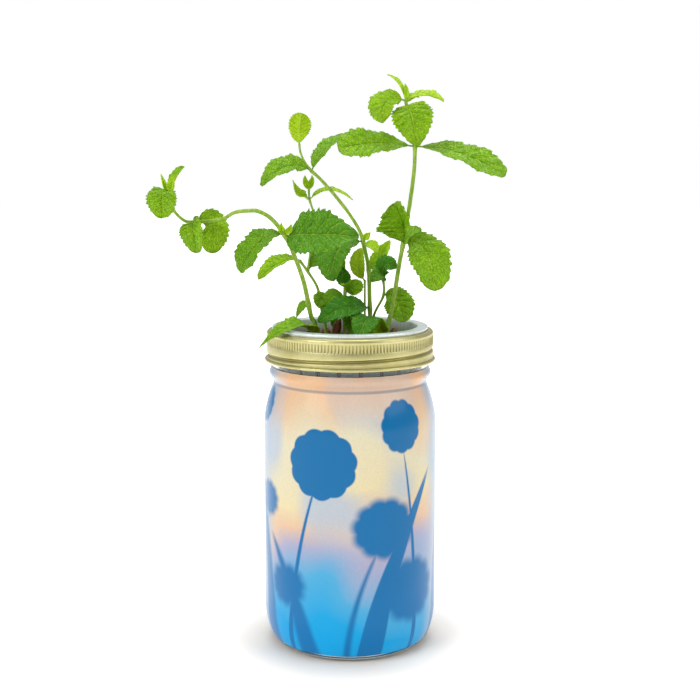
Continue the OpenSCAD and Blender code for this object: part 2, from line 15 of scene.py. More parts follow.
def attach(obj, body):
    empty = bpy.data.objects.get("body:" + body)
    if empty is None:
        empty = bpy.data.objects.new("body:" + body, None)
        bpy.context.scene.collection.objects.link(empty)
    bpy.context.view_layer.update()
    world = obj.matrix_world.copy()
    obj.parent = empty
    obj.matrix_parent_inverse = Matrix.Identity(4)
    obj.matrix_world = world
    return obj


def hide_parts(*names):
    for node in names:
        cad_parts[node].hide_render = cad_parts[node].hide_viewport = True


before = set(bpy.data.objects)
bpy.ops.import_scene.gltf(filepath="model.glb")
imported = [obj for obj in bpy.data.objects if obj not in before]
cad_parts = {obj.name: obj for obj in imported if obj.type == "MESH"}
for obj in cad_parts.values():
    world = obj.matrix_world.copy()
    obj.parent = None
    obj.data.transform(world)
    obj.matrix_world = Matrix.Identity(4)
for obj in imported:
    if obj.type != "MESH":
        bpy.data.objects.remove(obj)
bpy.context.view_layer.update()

MM = 0.001

# Sizes that the looks share with the CAD, in mm

# Jar
BODY_R, FOOT_R, HEEL = 45.15, 37.6, 21.5
SHOULDER_Z, WAIST_Z, WAIST_R, BEAD_R, NECK_R = 117, 138.5, 39.8, 42.3, 41.2
RIM_Z, MOUTH_R, WALL, FLOOR_Z = 165, 37.8, 3.4, 7.5
LEAD, THREAD_R, GROOVE_Z = 6.35, 42.6, 152.7
# Film: its ends, and how far its two sides stand off the glass
FILM_LOW, FILM_HIGH, FILM_IN, FILM_OUT = 2.8, 146.6, 0.03, 0.15
# Band: its wall, the roll at its foot, its lip and its knurl
SKIRT_IN, SKIRT_OUT, ROLL_R, ROLL_Z, ROLL = 43.0, 43.7, 44.8, 150.3, 0.85
LIP_Z, LIP_T, LIP_HOLE_R = 165.7, 0.4, 39.7
RIB_LOW_R, RIB_HIGH_R, KNURL_LOW, KNURL_HIGH, RIBS = 43.22, 43.76, 158.8, 163.0, 156
# Its groove: where it starts and ends round the band, and how long its ends are, in degrees
GROOVE_START, GROOVE_END, GROOVE_FADE = 160, 460, 20
# Pot's wall: radius outside at its foot, growth of the radius in each mm up, sheet, foot's height
POT_LOW_R, POT_TAPER, POT_SHEET, POT_Z = 31, 5.1 / 59.6, 0.8, 108
# Medium: its ends and their radii
MEDIUM_LOW, MEDIUM_Z, MEDIUM_LOW_R, MEDIUM_R = 109.1, 157.5, 30, 34.2
# Wick: its foot, its flat size, and the height below which it hangs free
WICK_LOW, WICK_LONG, WICK_WIDE, WICK_THICK, WICK_FREE = 9.5, 128.5, 16, 2, 104


def linked(name, data):
    """A new object of the data, linked to the scene."""
    made = bpy.data.objects.new(name, data)
    bpy.context.collection.objects.link(made)
    return made


# Camera and stage

# How far the camera looks down, in radians
LOOKS_DOWN = 0.1052
camera_data = bpy.data.cameras.new("camera")
camera_data.lens = 64.1
camera_data.sensor_width = 36
camera_data.shift_y = -0.08
camera_data.clip_start = 0.01
camera = linked("camera", camera_data)
camera.location = (0, -0.65, 0.2525)
camera.rotation_euler = (pi / 2 - LOOKS_DOWN, 0, 0)
bpy.context.scene.camera = camera
bpy.context.scene.view_settings.view_transform = "Standard"

MIDDLE_OF_SCENE = Vector((0, 0, 0.15))


def softbox(name, place, size, power):
    """A square lamp that looks at the middle of the scene."""
    data = bpy.data.lights.new(name, "AREA")
    data.size = size
    data.energy = power
    lamp = linked(name, data)
    lamp.location = place
    lamp.rotation_euler = (MIDDLE_OF_SCENE - Vector(place)).to_track_quat("-Z", "Y").to_euler()


softbox("softbox_left", (-1.1, -0.9, 1.0), 0.9, 11)
softbox("softbox_right", (1.2, -0.5, 0.8), 0.8, 5)
softbox("softbox_top", (0.1, 0.4, 1.5), 1.0, 9)


# Shader nodes


def rgb(red, green, blue):
    """A colour from 0 to 255, as it is seen, in the linear values that shaders use."""
    def channel(value):
        value /= 255
        return value / 12.92 if value <= 0.04045 else ((value + 0.055) / 1.055) ** 2.4
    return (channel(red), channel(green), channel(blue), 1)


class Tree:
    """Adds nodes to a node tree. A value is a number, a colour or another node's output."""

    def __init__(self, tree):
        self.tree = tree

    def put(self, socket, value):
        if isinstance(value, bpy.types.NodeSocket):
            self.tree.links.new(value, socket)
        else:
            socket.default_value = value

    def node(self, kind, values, **settings):
        node = self.tree.nodes.new(kind)
        for name, value in settings.items():
            setattr(node, name, value)
        for key, value in values.items():
            self.put(node.inputs[key], value)
        return node

    def math(self, operation, *values, clamp=False):
        settings = {"operation": operation, "use_clamp": clamp}
        return self.node("ShaderNodeMath", dict(enumerate(values)), **settings).outputs[0]

    def times(self, one, other):
        return self.math("MULTIPLY", one, other)

    def plus(self, one, other):
        return self.math("ADD", one, other)

    def minus(self, one, other):
        return self.math("SUBTRACT", one, other)

    def times_plus(self, value, factor, more):
        return self.math("MULTIPLY_ADD", value, factor, more)

    def most(self, one, other):
        return self.math("MAXIMUM", one, other)

    def absolute(self, value):
        return self.math("ABSOLUTE", value)

    def length(self, x, y):
        return self.math("SQRT", self.plus(self.times(x, x), self.times(y, y)))

    def mix(self, factor, one, other):
        values = {0: factor, 6: one, 7: other}
        return self.node("ShaderNodeMix", values, data_type="RGBA").outputs[2]

    def smooth(self, value, low, high, at_low=0.0, at_high=1.0):
        sockets = ("Value", "From Min", "From Max", "To Min", "To Max")
        values = dict(zip(sockets, (value, low, high, at_low, at_high)))
        return self.node("ShaderNodeMapRange", values, interpolation_type="SMOOTHSTEP").outputs[0]

    def noise(self, vector, scale, detail=2.0, roughness=0.5):
        values = {"Vector": vector, "Scale": scale, "Detail": detail, "Roughness": roughness}
        return self.node("ShaderNodeTexNoise", values).outputs["Fac"]

    def stretched(self, vector, *scale):
        return self.node("ShaderNodeMapping", {"Vector": vector, "Scale": scale}).outputs[0]

    def ramp(self, factor, stops):
        node = self.node("ShaderNodeValToRGB", {0: factor})
        elements = node.color_ramp.elements
        elements.remove(elements[1])
        elements[0].position, elements[0].color = stops[0]
        for place, colour in stops[1:]:
            elements.new(place).color = colour
        return node.outputs[0]

    def split(self, vector):
        return self.node("ShaderNodeSeparateXYZ", {0: vector}).outputs

    def join(self, x, y, z):
        return self.node("ShaderNodeCombineXYZ", {0: x, 1: y, 2: z}).outputs[0]

    def attribute(self, name):
        return self.node("ShaderNodeAttribute", {}, attribute_name=name).outputs["Fac"]

    def group(self, tree, values):
        node = self.node("ShaderNodeGroup", {}, node_tree=tree)
        for key, value in values.items():
            self.put(node.inputs[key], value)
        return node.outputs

    def bump(self, height, strength, distance):
        values = {"Height": height, "Strength": strength, "Distance": distance}
        return self.node("ShaderNodeBump", values).outputs[0]


def new_group(name, inputs, outputs):
    """Makes a node group of a function, which gets its tree and inputs and returns its outputs."""
    def made(build):
        tree = bpy.data.node_groups.new(name, "ShaderNodeTree")
        for label, kind in inputs:
            tree.interface.new_socket(label, in_out="INPUT", socket_type=kind)
        for label, kind in outputs:
            tree.interface.new_socket(label, in_out="OUTPUT", socket_type=kind)
        t = Tree(tree)
        start = tree.nodes.new("NodeGroupInput")
        end = tree.nodes.new("NodeGroupOutput")
        for socket, value in zip(end.inputs, build(t, start.outputs)):
            t.put(socket, value)
        return tree
    return made


PLACE = [("Place", "NodeSocketVector")]


def numbers(*labels):
    return [(label, "NodeSocketFloat") for label in labels]


def colours(*labels):
    return [(label, "NodeSocketColor") for label in labels]


def material(name, **constants):
    """Makes a material of a function, which gets its tree and object coordinates.

    The function returns what goes in the shader besides the constants.
    """
    def made(build):
        each = bpy.data.materials.new(name)
        each.use_nodes = True
        t = Tree(each.node_tree)
        shader = each.node_tree.nodes["Principled BSDF"]
        places = t.node("ShaderNodeTexCoord", {}).outputs["Object"]
        for label, value in {**constants, **build(t, places)}.items():
            t.put(shader.inputs[label.replace("_", " ")], value)
        return each
    return made


@new_group("grain", PLACE + numbers("Scale") + colours("Colour", "Other Colour"),
           colours("Colour") + numbers("Height"))
def grain(t, i):
    coarse = t.noise(i["Place"], i["Scale"], 3.0, 0.6)
    fine = t.noise(i["Place"], t.times(i["Scale"], 5.3), 2.0, 0.5)
    both = t.plus(t.times(coarse, 0.65), t.times(fine, 0.35))
    return t.mix(t.smooth(both, 0.36, 0.64), i["Colour"], i["Other Colour"]), both


def grained(t, places, scale, colour, other):
    """The Colour and Height of grain between two colours."""
    values = {"Place": places, "Scale": scale, "Colour": colour, "Other Colour": other}
    return t.group(grain, values)


@new_group("brushed", PLACE + numbers("Across", "Along"), numbers("Height", "Mask"))
def brushed(t, i):
    x, y, z = t.split(i["Place"])
    turn = t.times(t.math("ARCTAN2", y, x), i["Along"])
    lines = t.noise(t.join(turn, t.times(z, i["Across"]), 0.0), 1.0, 4.0, 0.7)
    return lines, t.smooth(lines, 0.3, 0.7)


@new_group("fibres", PLACE + numbers("Scale"), numbers("Height", "Mask"))
def fibres(t, i):
    scale = i["Scale"]
    bent = t.node("ShaderNodeTexNoise", {"Vector": i["Place"], "Scale": t.times(scale, 0.2)})
    push = {0: bent.outputs["Color"], "Scale": 0.01}
    push = t.node("ShaderNodeVectorMath", push, operation="SCALE").outputs[0]
    place = {0: i["Place"], 1: push}
    place = t.node("ShaderNodeVectorMath", place, operation="ADD").outputs[0]
    one = t.noise(t.stretched(place, 1.0, 0.12, 0.3), scale, 3.0, 0.7)
    other = t.noise(t.stretched(place, 0.14, 1.0, 0.5), scale, 3.0, 0.7)
    both = t.most(one, other)
    return both, t.smooth(both, 0.42, 0.68)


# Side veins on each side of a leaf, and how far they lean back. The mesh quilts between them.
VEINS = 7.5
VEIN_SLOPE = 0.2


@new_group("leaf_veins", PLACE + numbers("Seed"), numbers("Veins", "Net", "Height"))
def leaf_veins(t, i):
    across, along, _ = t.split(i["Place"])
    off_middle = t.absolute(t.minus(t.times(across, 2.0), 1.0))
    midrib = t.smooth(off_middle, 0.015, 0.075, 1.0, 0.0)
    phase = t.times(t.minus(along, t.times(off_middle, VEIN_SLOPE)), VEINS)
    to_vein = t.minus(0.5, t.absolute(t.minus(t.math("FRACT", phase), 0.5)))
    side_vein = t.smooth(to_vein, 0.02, 0.13, 1.0, 0.0)
    side_vein = t.times(side_vein, t.smooth(off_middle, 0.72, 1.0, 1.0, 0.25))
    cells = {"Vector": t.join(t.times(across, 13.0), t.times(along, 25.0), i["Seed"]), "Scale": 1.0}
    cells = t.node("ShaderNodeTexVoronoi", cells, feature="DISTANCE_TO_EDGE").outputs[0]
    net = t.smooth(cells, 0.01, 0.12, 1.0, 0.0)
    veins = t.most(midrib, t.times(side_vein, 0.75))
    height = t.times_plus(t.most(veins, t.times(net, 0.5)), -1.0, 1.0)
    return veins, net, height


# The print: grass blades and round seed heads in flat blue, some of them out of focus


@new_group("print_blade",
           numbers("Across", "Up", "Foot", "Height", "Lean", "Bend", "Half Width", "Blur"),
           numbers("Mask"))
def blade(t, i):
    share = t.math("DIVIDE", i["Up"], i["Height"])
    bent = t.times_plus(t.times(share, share), i["Bend"], i["Foot"])
    off = t.absolute(t.minus(i["Across"], t.times_plus(share, i["Lean"], bent)))
    taper = t.math("POWER", t.math("SUBTRACT", 1.0, share, clamp=True), 0.55)
    half = t.times(i["Half Width"], taper)
    inside = t.smooth(off, t.minus(half, i["Blur"]), t.plus(half, i["Blur"]), 1.0, 0.0)
    return (t.times(inside, t.smooth(taper, 0.0, 0.3)),)


@new_group("print_seed_head",
           numbers("Across", "Up", "Centre", "Height", "Radius", "Flatness", "Blur"),
           numbers("Mask"))
def seed_head(t, i):
    right = t.minus(i["Across"], i["Centre"])
    up = t.times(t.minus(i["Up"], i["Height"]), i["Flatness"])
    turn = t.math("ARCTAN2", right, up)
    lobes = t.times_plus(t.absolute(t.math("SINE", t.times(turn, 5.5))), 0.07, 0.95)
    edge = t.times(i["Radius"], lobes)
    low, high = t.minus(edge, i["Blur"]), t.plus(edge, i["Blur"])
    return (t.smooth(t.length(right, up), low, high, 1.0, 0.0),)


PRINT_H = 150
# Blades: foot, height, lean, bend, half width, blur, in mm round the jar and up
PRINT_BLADES = [
    (-34, 100, 3, 16, 1.7, 0.5), (-2, 66, 3, 17, 1.9, 1.4), (36, 112, 6, -14, 1.6, 0.5),
    (-50, 100, -2, -16, 6.2, 1.8), (10, 98, 10, 30, 7.0, 0.6), (-22, 64, -8, -20, 6.0, 2.2),
    (60, 84, -2, 10, 6.4, 2.0), (84, 128, 2, 12, 1.6, 0.5), (-88, 118, -4, -8, 1.7, 0.6),
    (112, 86, 6, -24, 6.6, 1.6), (-116, 92, 4, 22, 6.4, 0.6), (-70, 74, 3, 14, 1.6, 1.2),
]
# Seed heads: centre, height, radius, flatness, blur
PRINT_SEED_HEADS = [
    (-14.5, 103, 18, 1.0, 0.5), (18, 70, 17, 1.1, 2.6), (28, 121, 12, 0.9, 0.6),
    (-36, 38, 12, 1.1, 3.2), (34, 36, 18, 1.1, 3.4), (-60, 128, 9, 1, 1.2),
    (98, 134, 9, 1, 0.6), (-100, 122, 13, 1.05, 0.6), (122, 60, 12, 1.1, 3),
    (-53, 80, 10, 1.1, 2.4),
]


def print_shapes(t, across, up):
    """The mask of all the motifs."""
    motifs = [(blade, values) for values in PRINT_BLADES]
    motifs += [(seed_head, values) for values in PRINT_SEED_HEADS]
    masks = [t.group(motif, dict(enumerate((across, up, *values))))[0] for motif, values in motifs]
    return functools.reduce(t.most, masks)


@material("printed_film", Roughness=0.26, Specular_IOR_Level=0.14, Coat_Weight=0.14,
          Coat_Roughness=0.08, Sheen_Weight=0.7, Sheen_Roughness=0.3,
          Sheen_Tint=rgb(190, 216, 240))
def film(t, places):
    """Blue shapes on a ground that goes from blue at the foot to cream and peach at the top.
    It has painted reflections: pale blue at the sides, and a grey-blue line along the waist.
    """
    x, y, z = t.split(places)
    across = t.times(t.math("ARCTAN2", x, t.times(y, -1.0)), BODY_R)
    up = t.math("DIVIDE", z, MM)
    soft = t.noise(places, 22.0, 1.0, 0.4)
    level = t.math("DIVIDE", t.times_plus(t.minus(soft, 0.5), 70.0, up), PRINT_H)
    ground = t.ramp(level, [
        (0.0, rgb(0, 180, 250)), (0.12, rgb(0, 176, 242)), (0.24, rgb(84, 184, 234)),
        (0.36, rgb(184, 184, 214)), (0.45, rgb(240, 204, 172)), (0.58, rgb(244, 230, 184)),
        (0.74, rgb(236, 230, 200)), (0.86, rgb(242, 208, 170)), (0.97, rgb(242, 196, 152)),
    ])
    cool = t.smooth(t.noise(t.stretched(places, 1.0, 1.0, 0.8), 31.0, 0.0), 0.5, 0.66)
    high = t.times(t.smooth(up, 50.0, 80.0), t.smooth(up, 112.0, 134.0, 0.85, 0.3))
    ground = t.mix(t.times(cool, high), ground, rgb(190, 206, 226))
    # Painted reflection: a pale blue over the print at the jar's left and right sides, as the
    # camera sees them
    side = t.plus(t.absolute(across), t.times(soft, 12.0))
    side = t.times(t.smooth(side, 50.0, 66.0, 0.0, 0.9), t.smooth(side, 84.0, 110.0, 1.0, 0.0))
    ground = t.mix(side, ground, rgb(164, 188, 216))
    blue = t.ramp(level, [
        (0.0, rgb(0, 128, 200)), (0.3, rgb(0, 118, 184)), (0.9, rgb(0, 114, 176)),
    ])
    inked = t.mix(print_shapes(t, across, up), ground, blue)
    # Painted reflection: a grey-blue line along the waist's hollow
    painted_waist_reflection = t.smooth(t.absolute(t.minus(up, WAIST_Z)), 0.3, 1.1, 0.6, 0.0)
    inked = t.mix(painted_waist_reflection, inked, rgb(120, 132, 146))
    speck = grained(t, places, 900.0, inked, t.mix(0.07, inked, rgb(60, 90, 130)))
    return {"Base Color": speck["Colour"], "Normal": t.bump(speck["Height"], 0.05, 0.0002)}


# The other materials


@material("gold_lacquer", Metallic=1.0)
def gold(t, places):
    """Brushed lacquer, with painted shade between the knurl's ribs and in the creases."""
    lines = t.group(brushed, {"Place": places, "Across": 9000.0, "Along": 14.0})
    tone = grained(t, places, 60.0, rgb(188, 183, 134), rgb(176, 171, 116))
    dust = grained(t, places, 700.0, (0.3, 0.3, 0.3, 1), (0.42, 0.42, 0.42, 1))
    rough = t.times_plus(lines["Mask"], 0.06, dust["Colour"])
    x, y, z = t.split(places)
    # Painted shade between the knurl's ribs, within the knurl's height
    first_rib = -RIBS * radians(GROOVE_START)
    rib = t.math("COSINE", t.times_plus(t.math("ARCTAN2", y, x), RIBS, first_rib))
    up = t.math("DIVIDE", z, MM)
    dark = t.times(t.smooth(rib, -1.0, 0.4, 0.65, 0.0),
                   t.smooth(up, KNURL_LOW - 0.3, KNURL_LOW + 0.3))
    dark = t.times(dark, t.smooth(up, KNURL_HIGH - 0.3, KNURL_HIGH + 0.3, 1.0, 0.0))
    colour = t.mix(dark, tone["Colour"], rgb(96, 90, 44))
    # Painted shade in the groove and round the roll, as much as the band gives each point
    colour = t.mix(t.times(t.attribute("crease_shade"), 0.5), colour, rgb(110, 102, 44))
    normal = t.bump(lines["Height"], 0.12, 0.0002)
    return {"Base Color": colour, "Roughness": rough, "Normal": normal}


@material("pale_steel", Metallic=0.35)
def steel(t, places):
    """Pale metal with fine lines down the wall. Outside, below the flange, it has painted shade.
    Inside, it has a painted green reflection of the leaves with painted shade, darkest where the
    wall meets the medium.
    """
    x, y, z = t.split(places)
    turn = t.math("ARCTAN2", y, x)
    hatch = t.noise(t.join(t.times(turn, 90.0), t.times(z, 60.0), 0.0), 1.0, 3.0, 0.6)
    lines = t.group(brushed, {"Place": places, "Across": 5000.0, "Along": 10.0})
    tone = grained(t, places, 90.0, rgb(224, 236, 236), rgb(214, 227, 226))
    height = t.plus(t.times(hatch, 0.8), t.times(lines["Height"], 0.4))
    rough = t.times_plus(hatch, 0.18, 0.2)
    # Painted shade on the outside of the wall below the flange, where it stands in the jar's neck
    radius_at_zero = POT_LOW_R - POT_SHEET / 2 - POT_TAPER * POT_Z
    wall_r = t.times_plus(z, POT_TAPER, radius_at_zero * MM)
    inner = t.smooth(t.minus(t.length(x, y), wall_r), -0.0001, 0.0001, 1.0, 0.0)
    painted_outside_shade = t.times(t.minus(1.0, inner), t.smooth(z, 0.165, 0.1665, 0.9, 0.0))
    colour = t.mix(painted_outside_shade, tone["Colour"], rgb(176, 184, 180))
    # Painted reflection of the leaves and painted shade: green over the inside of the wall, fading
    # up to the flange
    painted_leaf_reflection_and_shade = t.times(inner, t.smooth(z, 0.156, 0.1675, 0.9, 0.0))
    colour = t.mix(painted_leaf_reflection_and_shade, colour, rgb(112, 128, 78))
    # Painted shade, dark, where the inside of the wall goes down into the medium
    painted_shade_at_medium = t.times(inner, t.smooth(z, 0.15, 0.157, 0.95, 0.0))
    colour = t.mix(painted_shade_at_medium, colour, rgb(44, 42, 30))
    return {"Base Color": colour, "Roughness": rough, "Normal": t.bump(height, 0.08, 0.0002)}


@material("soft_ring", Roughness=0.5)
def soft_ring(t, places):
    tone = grained(t, places, 400.0, rgb(236, 236, 230), rgb(222, 222, 214))
    return {"Base Color": tone["Colour"], "Normal": t.bump(tone["Height"], 0.1, 0.0002)}


@material("wick_felt", Roughness=0.9, Sheen_Weight=0.3, Sheen_Roughness=0.5)
def felt(t, places):
    """Pale felt, darker towards its wet foot."""
    strands = t.group(fibres, {"Place": places, "Scale": 1800.0})
    tone = t.mix(strands["Mask"], rgb(214, 206, 188), rgb(240, 234, 220))
    damp = t.smooth(t.split(places)[2], 0.02, 0.07, 0.75, 0.0)
    tone = t.mix(damp, tone, rgb(176, 164, 138))
    return {"Base Color": tone, "Normal": t.bump(strands["Height"], 0.6, 0.0004)}


def fibrous(t, places, scale, tone, strand_colour, share, strength, distance):
    """Fibres that stand out of a tone, in a colour of their own."""
    strands = t.group(fibres, {"Place": places, "Scale": scale})
    colour = t.mix(t.times(strands["Mask"], share), tone, strand_colour)
    return {"Base Color": colour, "Normal": t.bump(strands["Height"], strength, distance)}


@material("coir", Roughness=0.9)
def coir(t, places):
    tone = grained(t, places, 160.0, rgb(52, 28, 16), rgb(92, 50, 28))["Colour"]
    return fibrous(t, places, 1300.0, tone, rgb(124, 76, 42), 1.0, 0.8, 0.0008)


@material("husk", Roughness=0.8)
def husk(t, places):
    tone = grained(t, places, 260.0, rgb(70, 30, 16), rgb(120, 58, 28))["Colour"]
    return fibrous(t, places, 900.0, tone, rgb(150, 92, 50), 0.6, 0.7, 0.0006)


@material("stem_skin", Roughness=0.42, Specular_IOR_Level=0.25)
def stem_skin(t, places):
    """Green with pale streaks along the stem, darker near the medium."""
    tone = grained(t, places, 260.0, rgb(152, 192, 62), rgb(116, 162, 32))
    streaks = t.noise(t.stretched(places, 1600.0, 1600.0, 90.0), 1.0, 2.0)
    pale = t.smooth(streaks, 0.4, 0.7, 0.0, 0.6)
    colour = t.mix(pale, tone["Colour"], rgb(190, 214, 104))
    low = t.smooth(t.split(places)[2], 0.158, 0.19, 0.45, 0.0)
    colour = t.mix(low, colour, rgb(108, 128, 44))
    return {"Base Color": colour, "Normal": t.bump(streaks, 0.25, 0.0003)}


def leaf_tones(t, light, dark):
    """The colour of a leaf's blade, by its shade from light to dark, and how young and lit through
    it is.

    The shade is partly the leaf's own tone and partly painted shade, for leaves in the shade of
    others.
    """
    shade = t.attribute("shade")
    # Leaves with a shade near 0 turn pale yellow-green: partly the paler colour of young leaves,
    # partly painted light of a leaf lit through from behind
    young_and_backlit = t.smooth(shade, 0.0, 0.14, 0.8, 0.0)
    return t.mix(young_and_backlit, t.mix(shade, light, dark), rgb(204, 246, 40)), shade, young_and_backlit


def relief(t, height):
    """The height of a leaf's relief, less on a small leaf, whose veins lie closer."""
    return t.times(height, t.attribute("size"))


@material("leaf_top", Specular_IOR_Level=0.3)
def leaf_top(t, places):
    """A leaf's upper side, with paler veins and a darker net between them."""
    place = t.node("ShaderNodeTexCoord", {}).outputs["UV"]
    blade_colour, shade, young_and_backlit = leaf_tones(t, rgb(176, 230, 0), rgb(54, 140, 0))
    veins = t.group(leaf_veins, {"Place": place, "Seed": shade})
    deep = t.mix(t.times_plus(young_and_backlit, -0.32, 0.4), blade_colour, rgb(38, 118, 0))
    tone = grained(t, places, 260.0, blade_colour, deep)
    colour = t.mix(t.times(veins["Net"], 0.35), tone["Colour"], deep)
    worn = t.smooth(t.noise(places, 80.0, 1.0), 0.4, 0.7, 0.0, 0.3)
    worn = t.times(worn, t.minus(1.0, young_and_backlit))
    colour = t.mix(worn, colour, t.mix(0.5, blade_colour, rgb(84, 150, 0)))
    vein_colour = t.mix(0.75, blade_colour, rgb(206, 234, 96))
    patchy = t.smooth(t.noise(places, 420.0, 2.0), 0.35, 0.65, 0.15, 0.6)
    colour = t.mix(t.times(veins["Veins"], patchy), colour, vein_colour)
    rough = t.times_plus(veins["Net"], 0.15, 0.4)
    height = relief(t, t.times_plus(tone["Height"], 1.1, veins["Height"]))
    return {"Base Color": colour, "Roughness": rough, "Normal": t.bump(height, 0.85, 0.001)}


@material("leaf_underside", Roughness=0.6, Specular_IOR_Level=0.12)
def leaf_under(t, places):
    """A leaf's underside, paler, with veins that stand out."""
    place = t.node("ShaderNodeTexCoord", {}).outputs["UV"]
    blade_colour, shade, _ = leaf_tones(t, rgb(180, 222, 14), rgb(118, 172, 8))
    veins = t.group(leaf_veins, {"Place": place, "Seed": shade})
    tone = grained(t, places, 300.0, blade_colour, t.mix(0.3, blade_colour, rgb(100, 150, 10)))
    colour = t.mix(t.times(veins["Veins"], 0.6), tone["Colour"], rgb(200, 220, 96))
    height = relief(t, t.minus(1.0, veins["Height"]))
    return {"Base Color": colour, "Normal": t.bump(height, 0.7, 0.0006)}


@material("clear_glass", Roughness=0.0, IOR=1.5, Transmission_Weight=1.0)
def glass(t, places):
    ripple = t.noise(t.stretched(places, 1.0, 1.0, 0.5), 40.0, 1.0)
    tone = grained(t, places, 30.0, rgb(238, 250, 247), rgb(232, 247, 243))
    return {"Base Color": tone["Colour"], "Normal": t.bump(ripple, 0.12, 0.001)}


@material("floor_paint", Roughness=0.9, Emission_Color=(1, 1, 1, 1))
def floor_paint(t, places):
    """Nearly white. It glows to the camera away from the jar, so that it meets the backdrop."""
    tone = grained(t, places, 6.0, rgb(251, 244, 235), rgb(253, 246, 237))
    rays = t.node("ShaderNodeLightPath", {}).outputs
    seen = t.most(rays["Is Camera Ray"], rays["Is Glossy Ray"])
    far = t.node("ShaderNodeVectorMath", {0: places}, operation="LENGTH").outputs["Value"]
    glow = t.smooth(far, 0.035, 0.115, 0.02, 0.9)
    through_glass = t.times(rays["Is Transmission Ray"], t.most(glow, 0.7))
    strength = t.most(t.times(seen, glow), through_glass)
    return {"Base Color": tone["Colour"], "Emission Strength": strength}


# White to the eye, and a room with lighter and darker parts to glossy surfaces
world = bpy.data.worlds.new("studio")
world.use_nodes = True
bpy.context.scene.world = world
w = Tree(world.node_tree)
toward = w.split(w.node("ShaderNodeTexCoord", {}).outputs["Generated"])
rays = w.node("ShaderNodeLightPath", {}).outputs
ahead = w.smooth(toward[1], -0.9, 0.3, 0.42, 0.58)
level = w.most(ahead, w.smooth(toward[2], 0.25, 0.8, 0.0, 1.0))
room = w.mix(rays["Is Glossy Ray"], (0.47, 0.47, 0.47, 1), w.join(level, level, level))
seen = w.most(rays["Is Camera Ray"], rays["Is Transmission Ray"])
background = world.node_tree.nodes["Background"]
w.put(background.inputs["Color"], w.mix(seen, room, (1, 1, 1, 1)))


# Making pieces


def mesh_of(bm, name, *materials):
    mesh = bpy.data.meshes.new(name)
    bm.to_mesh(mesh)
    bm.free()
    for each in materials:
        mesh.materials.append(each)
    return mesh


def piece(bm, name, materials, body, slot, *nodes, sharp=40):
    """Makes an object of a bmesh. It moves with the body and stands for the CAD's nodes."""
    mesh = mesh_of(bm, name, *materials)
    for face in mesh.polygons:
        face.use_smooth = True
    mesh.set_sharp_from_angle(angle=radians(sharp))
    made = linked(name, mesh)
    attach(made, body)
    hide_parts(*nodes)
    return made


def spun(outline, steps, closed=True):
    """A bmesh of an outline of radii and heights in mm, turned round the Z axis."""
    bm = bmesh.new()
    corners = [bm.verts.new((r * MM, 0, z * MM)) for r, z in outline]
    edges = [bm.edges.new(pair) for pair in zip(corners, corners[1:])]
    if closed:
        edges.append(bm.edges.new((corners[-1], corners[0])))
    bmesh.ops.spin(bm, geom=corners + edges, cent=(0, 0, 0), axis=(0, 0, 1), angle=tau,
                   steps=steps, use_merge=True)
    bmesh.ops.remove_doubles(bm, verts=bm.verts, dist=1e-7)
    bmesh.ops.recalc_face_normals(bm, faces=bm.faces)
    return bm


def tube(bm, route, radii, fine=2):
    """Adds a tube along a route in mm, whose radius changes from point to point."""
    data = bpy.data.curves.new("route", "CURVE")
    data.dimensions = "3D"
    data.bevel_depth = MM
    data.bevel_resolution = fine
    data.use_fill_caps = True
    line = data.splines.new("POLY")
    line.points.add(len(route) - 1)
    for point, place, radius in zip(line.points, route, radii):
        point.co = (*(Vector(place) * MM), 1)
        point.radius = radius
    holder = linked("route", data)
    bpy.context.view_layer.update()
    evaluated = holder.evaluated_get(bpy.context.evaluated_depsgraph_get())
    mesh = bpy.data.meshes.new_from_object(evaluated)
    bm.from_mesh(mesh)
    bpy.data.objects.remove(holder)
    bpy.data.curves.remove(data)
    bpy.data.meshes.remove(mesh)


def turned(x, y, z):
    """A turn round X, then Y, then Z, in degrees."""
    return Euler([radians(a) for a in (x, y, z)]).to_matrix()


def steps_of(count):
    """Shares from 0 to 1, in a number of equal steps."""
    return [i / count for i in range(count + 1)]


def quarter(count):
    """Angles from 0 to a quarter turn, in a number of equal steps."""
    return [pi / 2 * s for s in steps_of(count)]


def ease(a, b, share):
    """From a to b, slow at both ends."""
    return a + (b - a) * (1 - cos(pi * share)) / 2


def arc(r, z, size, start, end, count=6):
    """Points on part of a circle. Angles in degrees, from outwards to up."""
    return [(r + size * cos(a), z + size * sin(a))
            for a in (radians(start + (end - start) * s) for s in steps_of(count))]


def clamped(value):
    """A value kept from 0 to 1."""
    return max(0.0, min(1.0, value))


# Jar and film

FOOT_LOW_Z, SHOULDER_CURVE = 0.5, 1.75
# Heights from the waist up to the bead's widest place, and from there to the neck
BEAD_RISE, UNDER_BEAD = 5, 3.5
# The inside: where the neck's straight wall ends, the flat floor, and the height of its heel
INSIDE_WAIST_Z, INSIDE_FLAT_R, INSIDE_HEEL = WAIST_Z - 4, 28, 15


def glass_line(grow=0.0):
    """Outline of the glass outside, from the foot to where the neck starts."""
    heel = [(FOOT_R + grow + (BODY_R - FOOT_R) * sin(a),
             FOOT_LOW_Z + (HEEL - FOOT_LOW_Z) * (1 - cos(a))) for a in quarter(20)]
    wall = [(BODY_R + grow, HEEL + (SHOULDER_Z - HEEL) * s) for s in steps_of(12)[1:-1]]
    shoulder = [(BODY_R + grow - (BODY_R - WAIST_R) * s ** SHOULDER_CURVE,
                 SHOULDER_Z + (WAIST_Z - SHOULDER_Z) * s) for s in steps_of(24)]
    bead = [(ease(WAIST_R, BEAD_R, s) + grow, WAIST_Z + BEAD_RISE * s) for s in steps_of(10)[1:]]
    under = [(ease(BEAD_R, NECK_R, s) + grow, WAIST_Z + BEAD_RISE + UNDER_BEAD * s)
             for s in steps_of(8)[1:]]
    return heel + wall + shoulder + bead + under


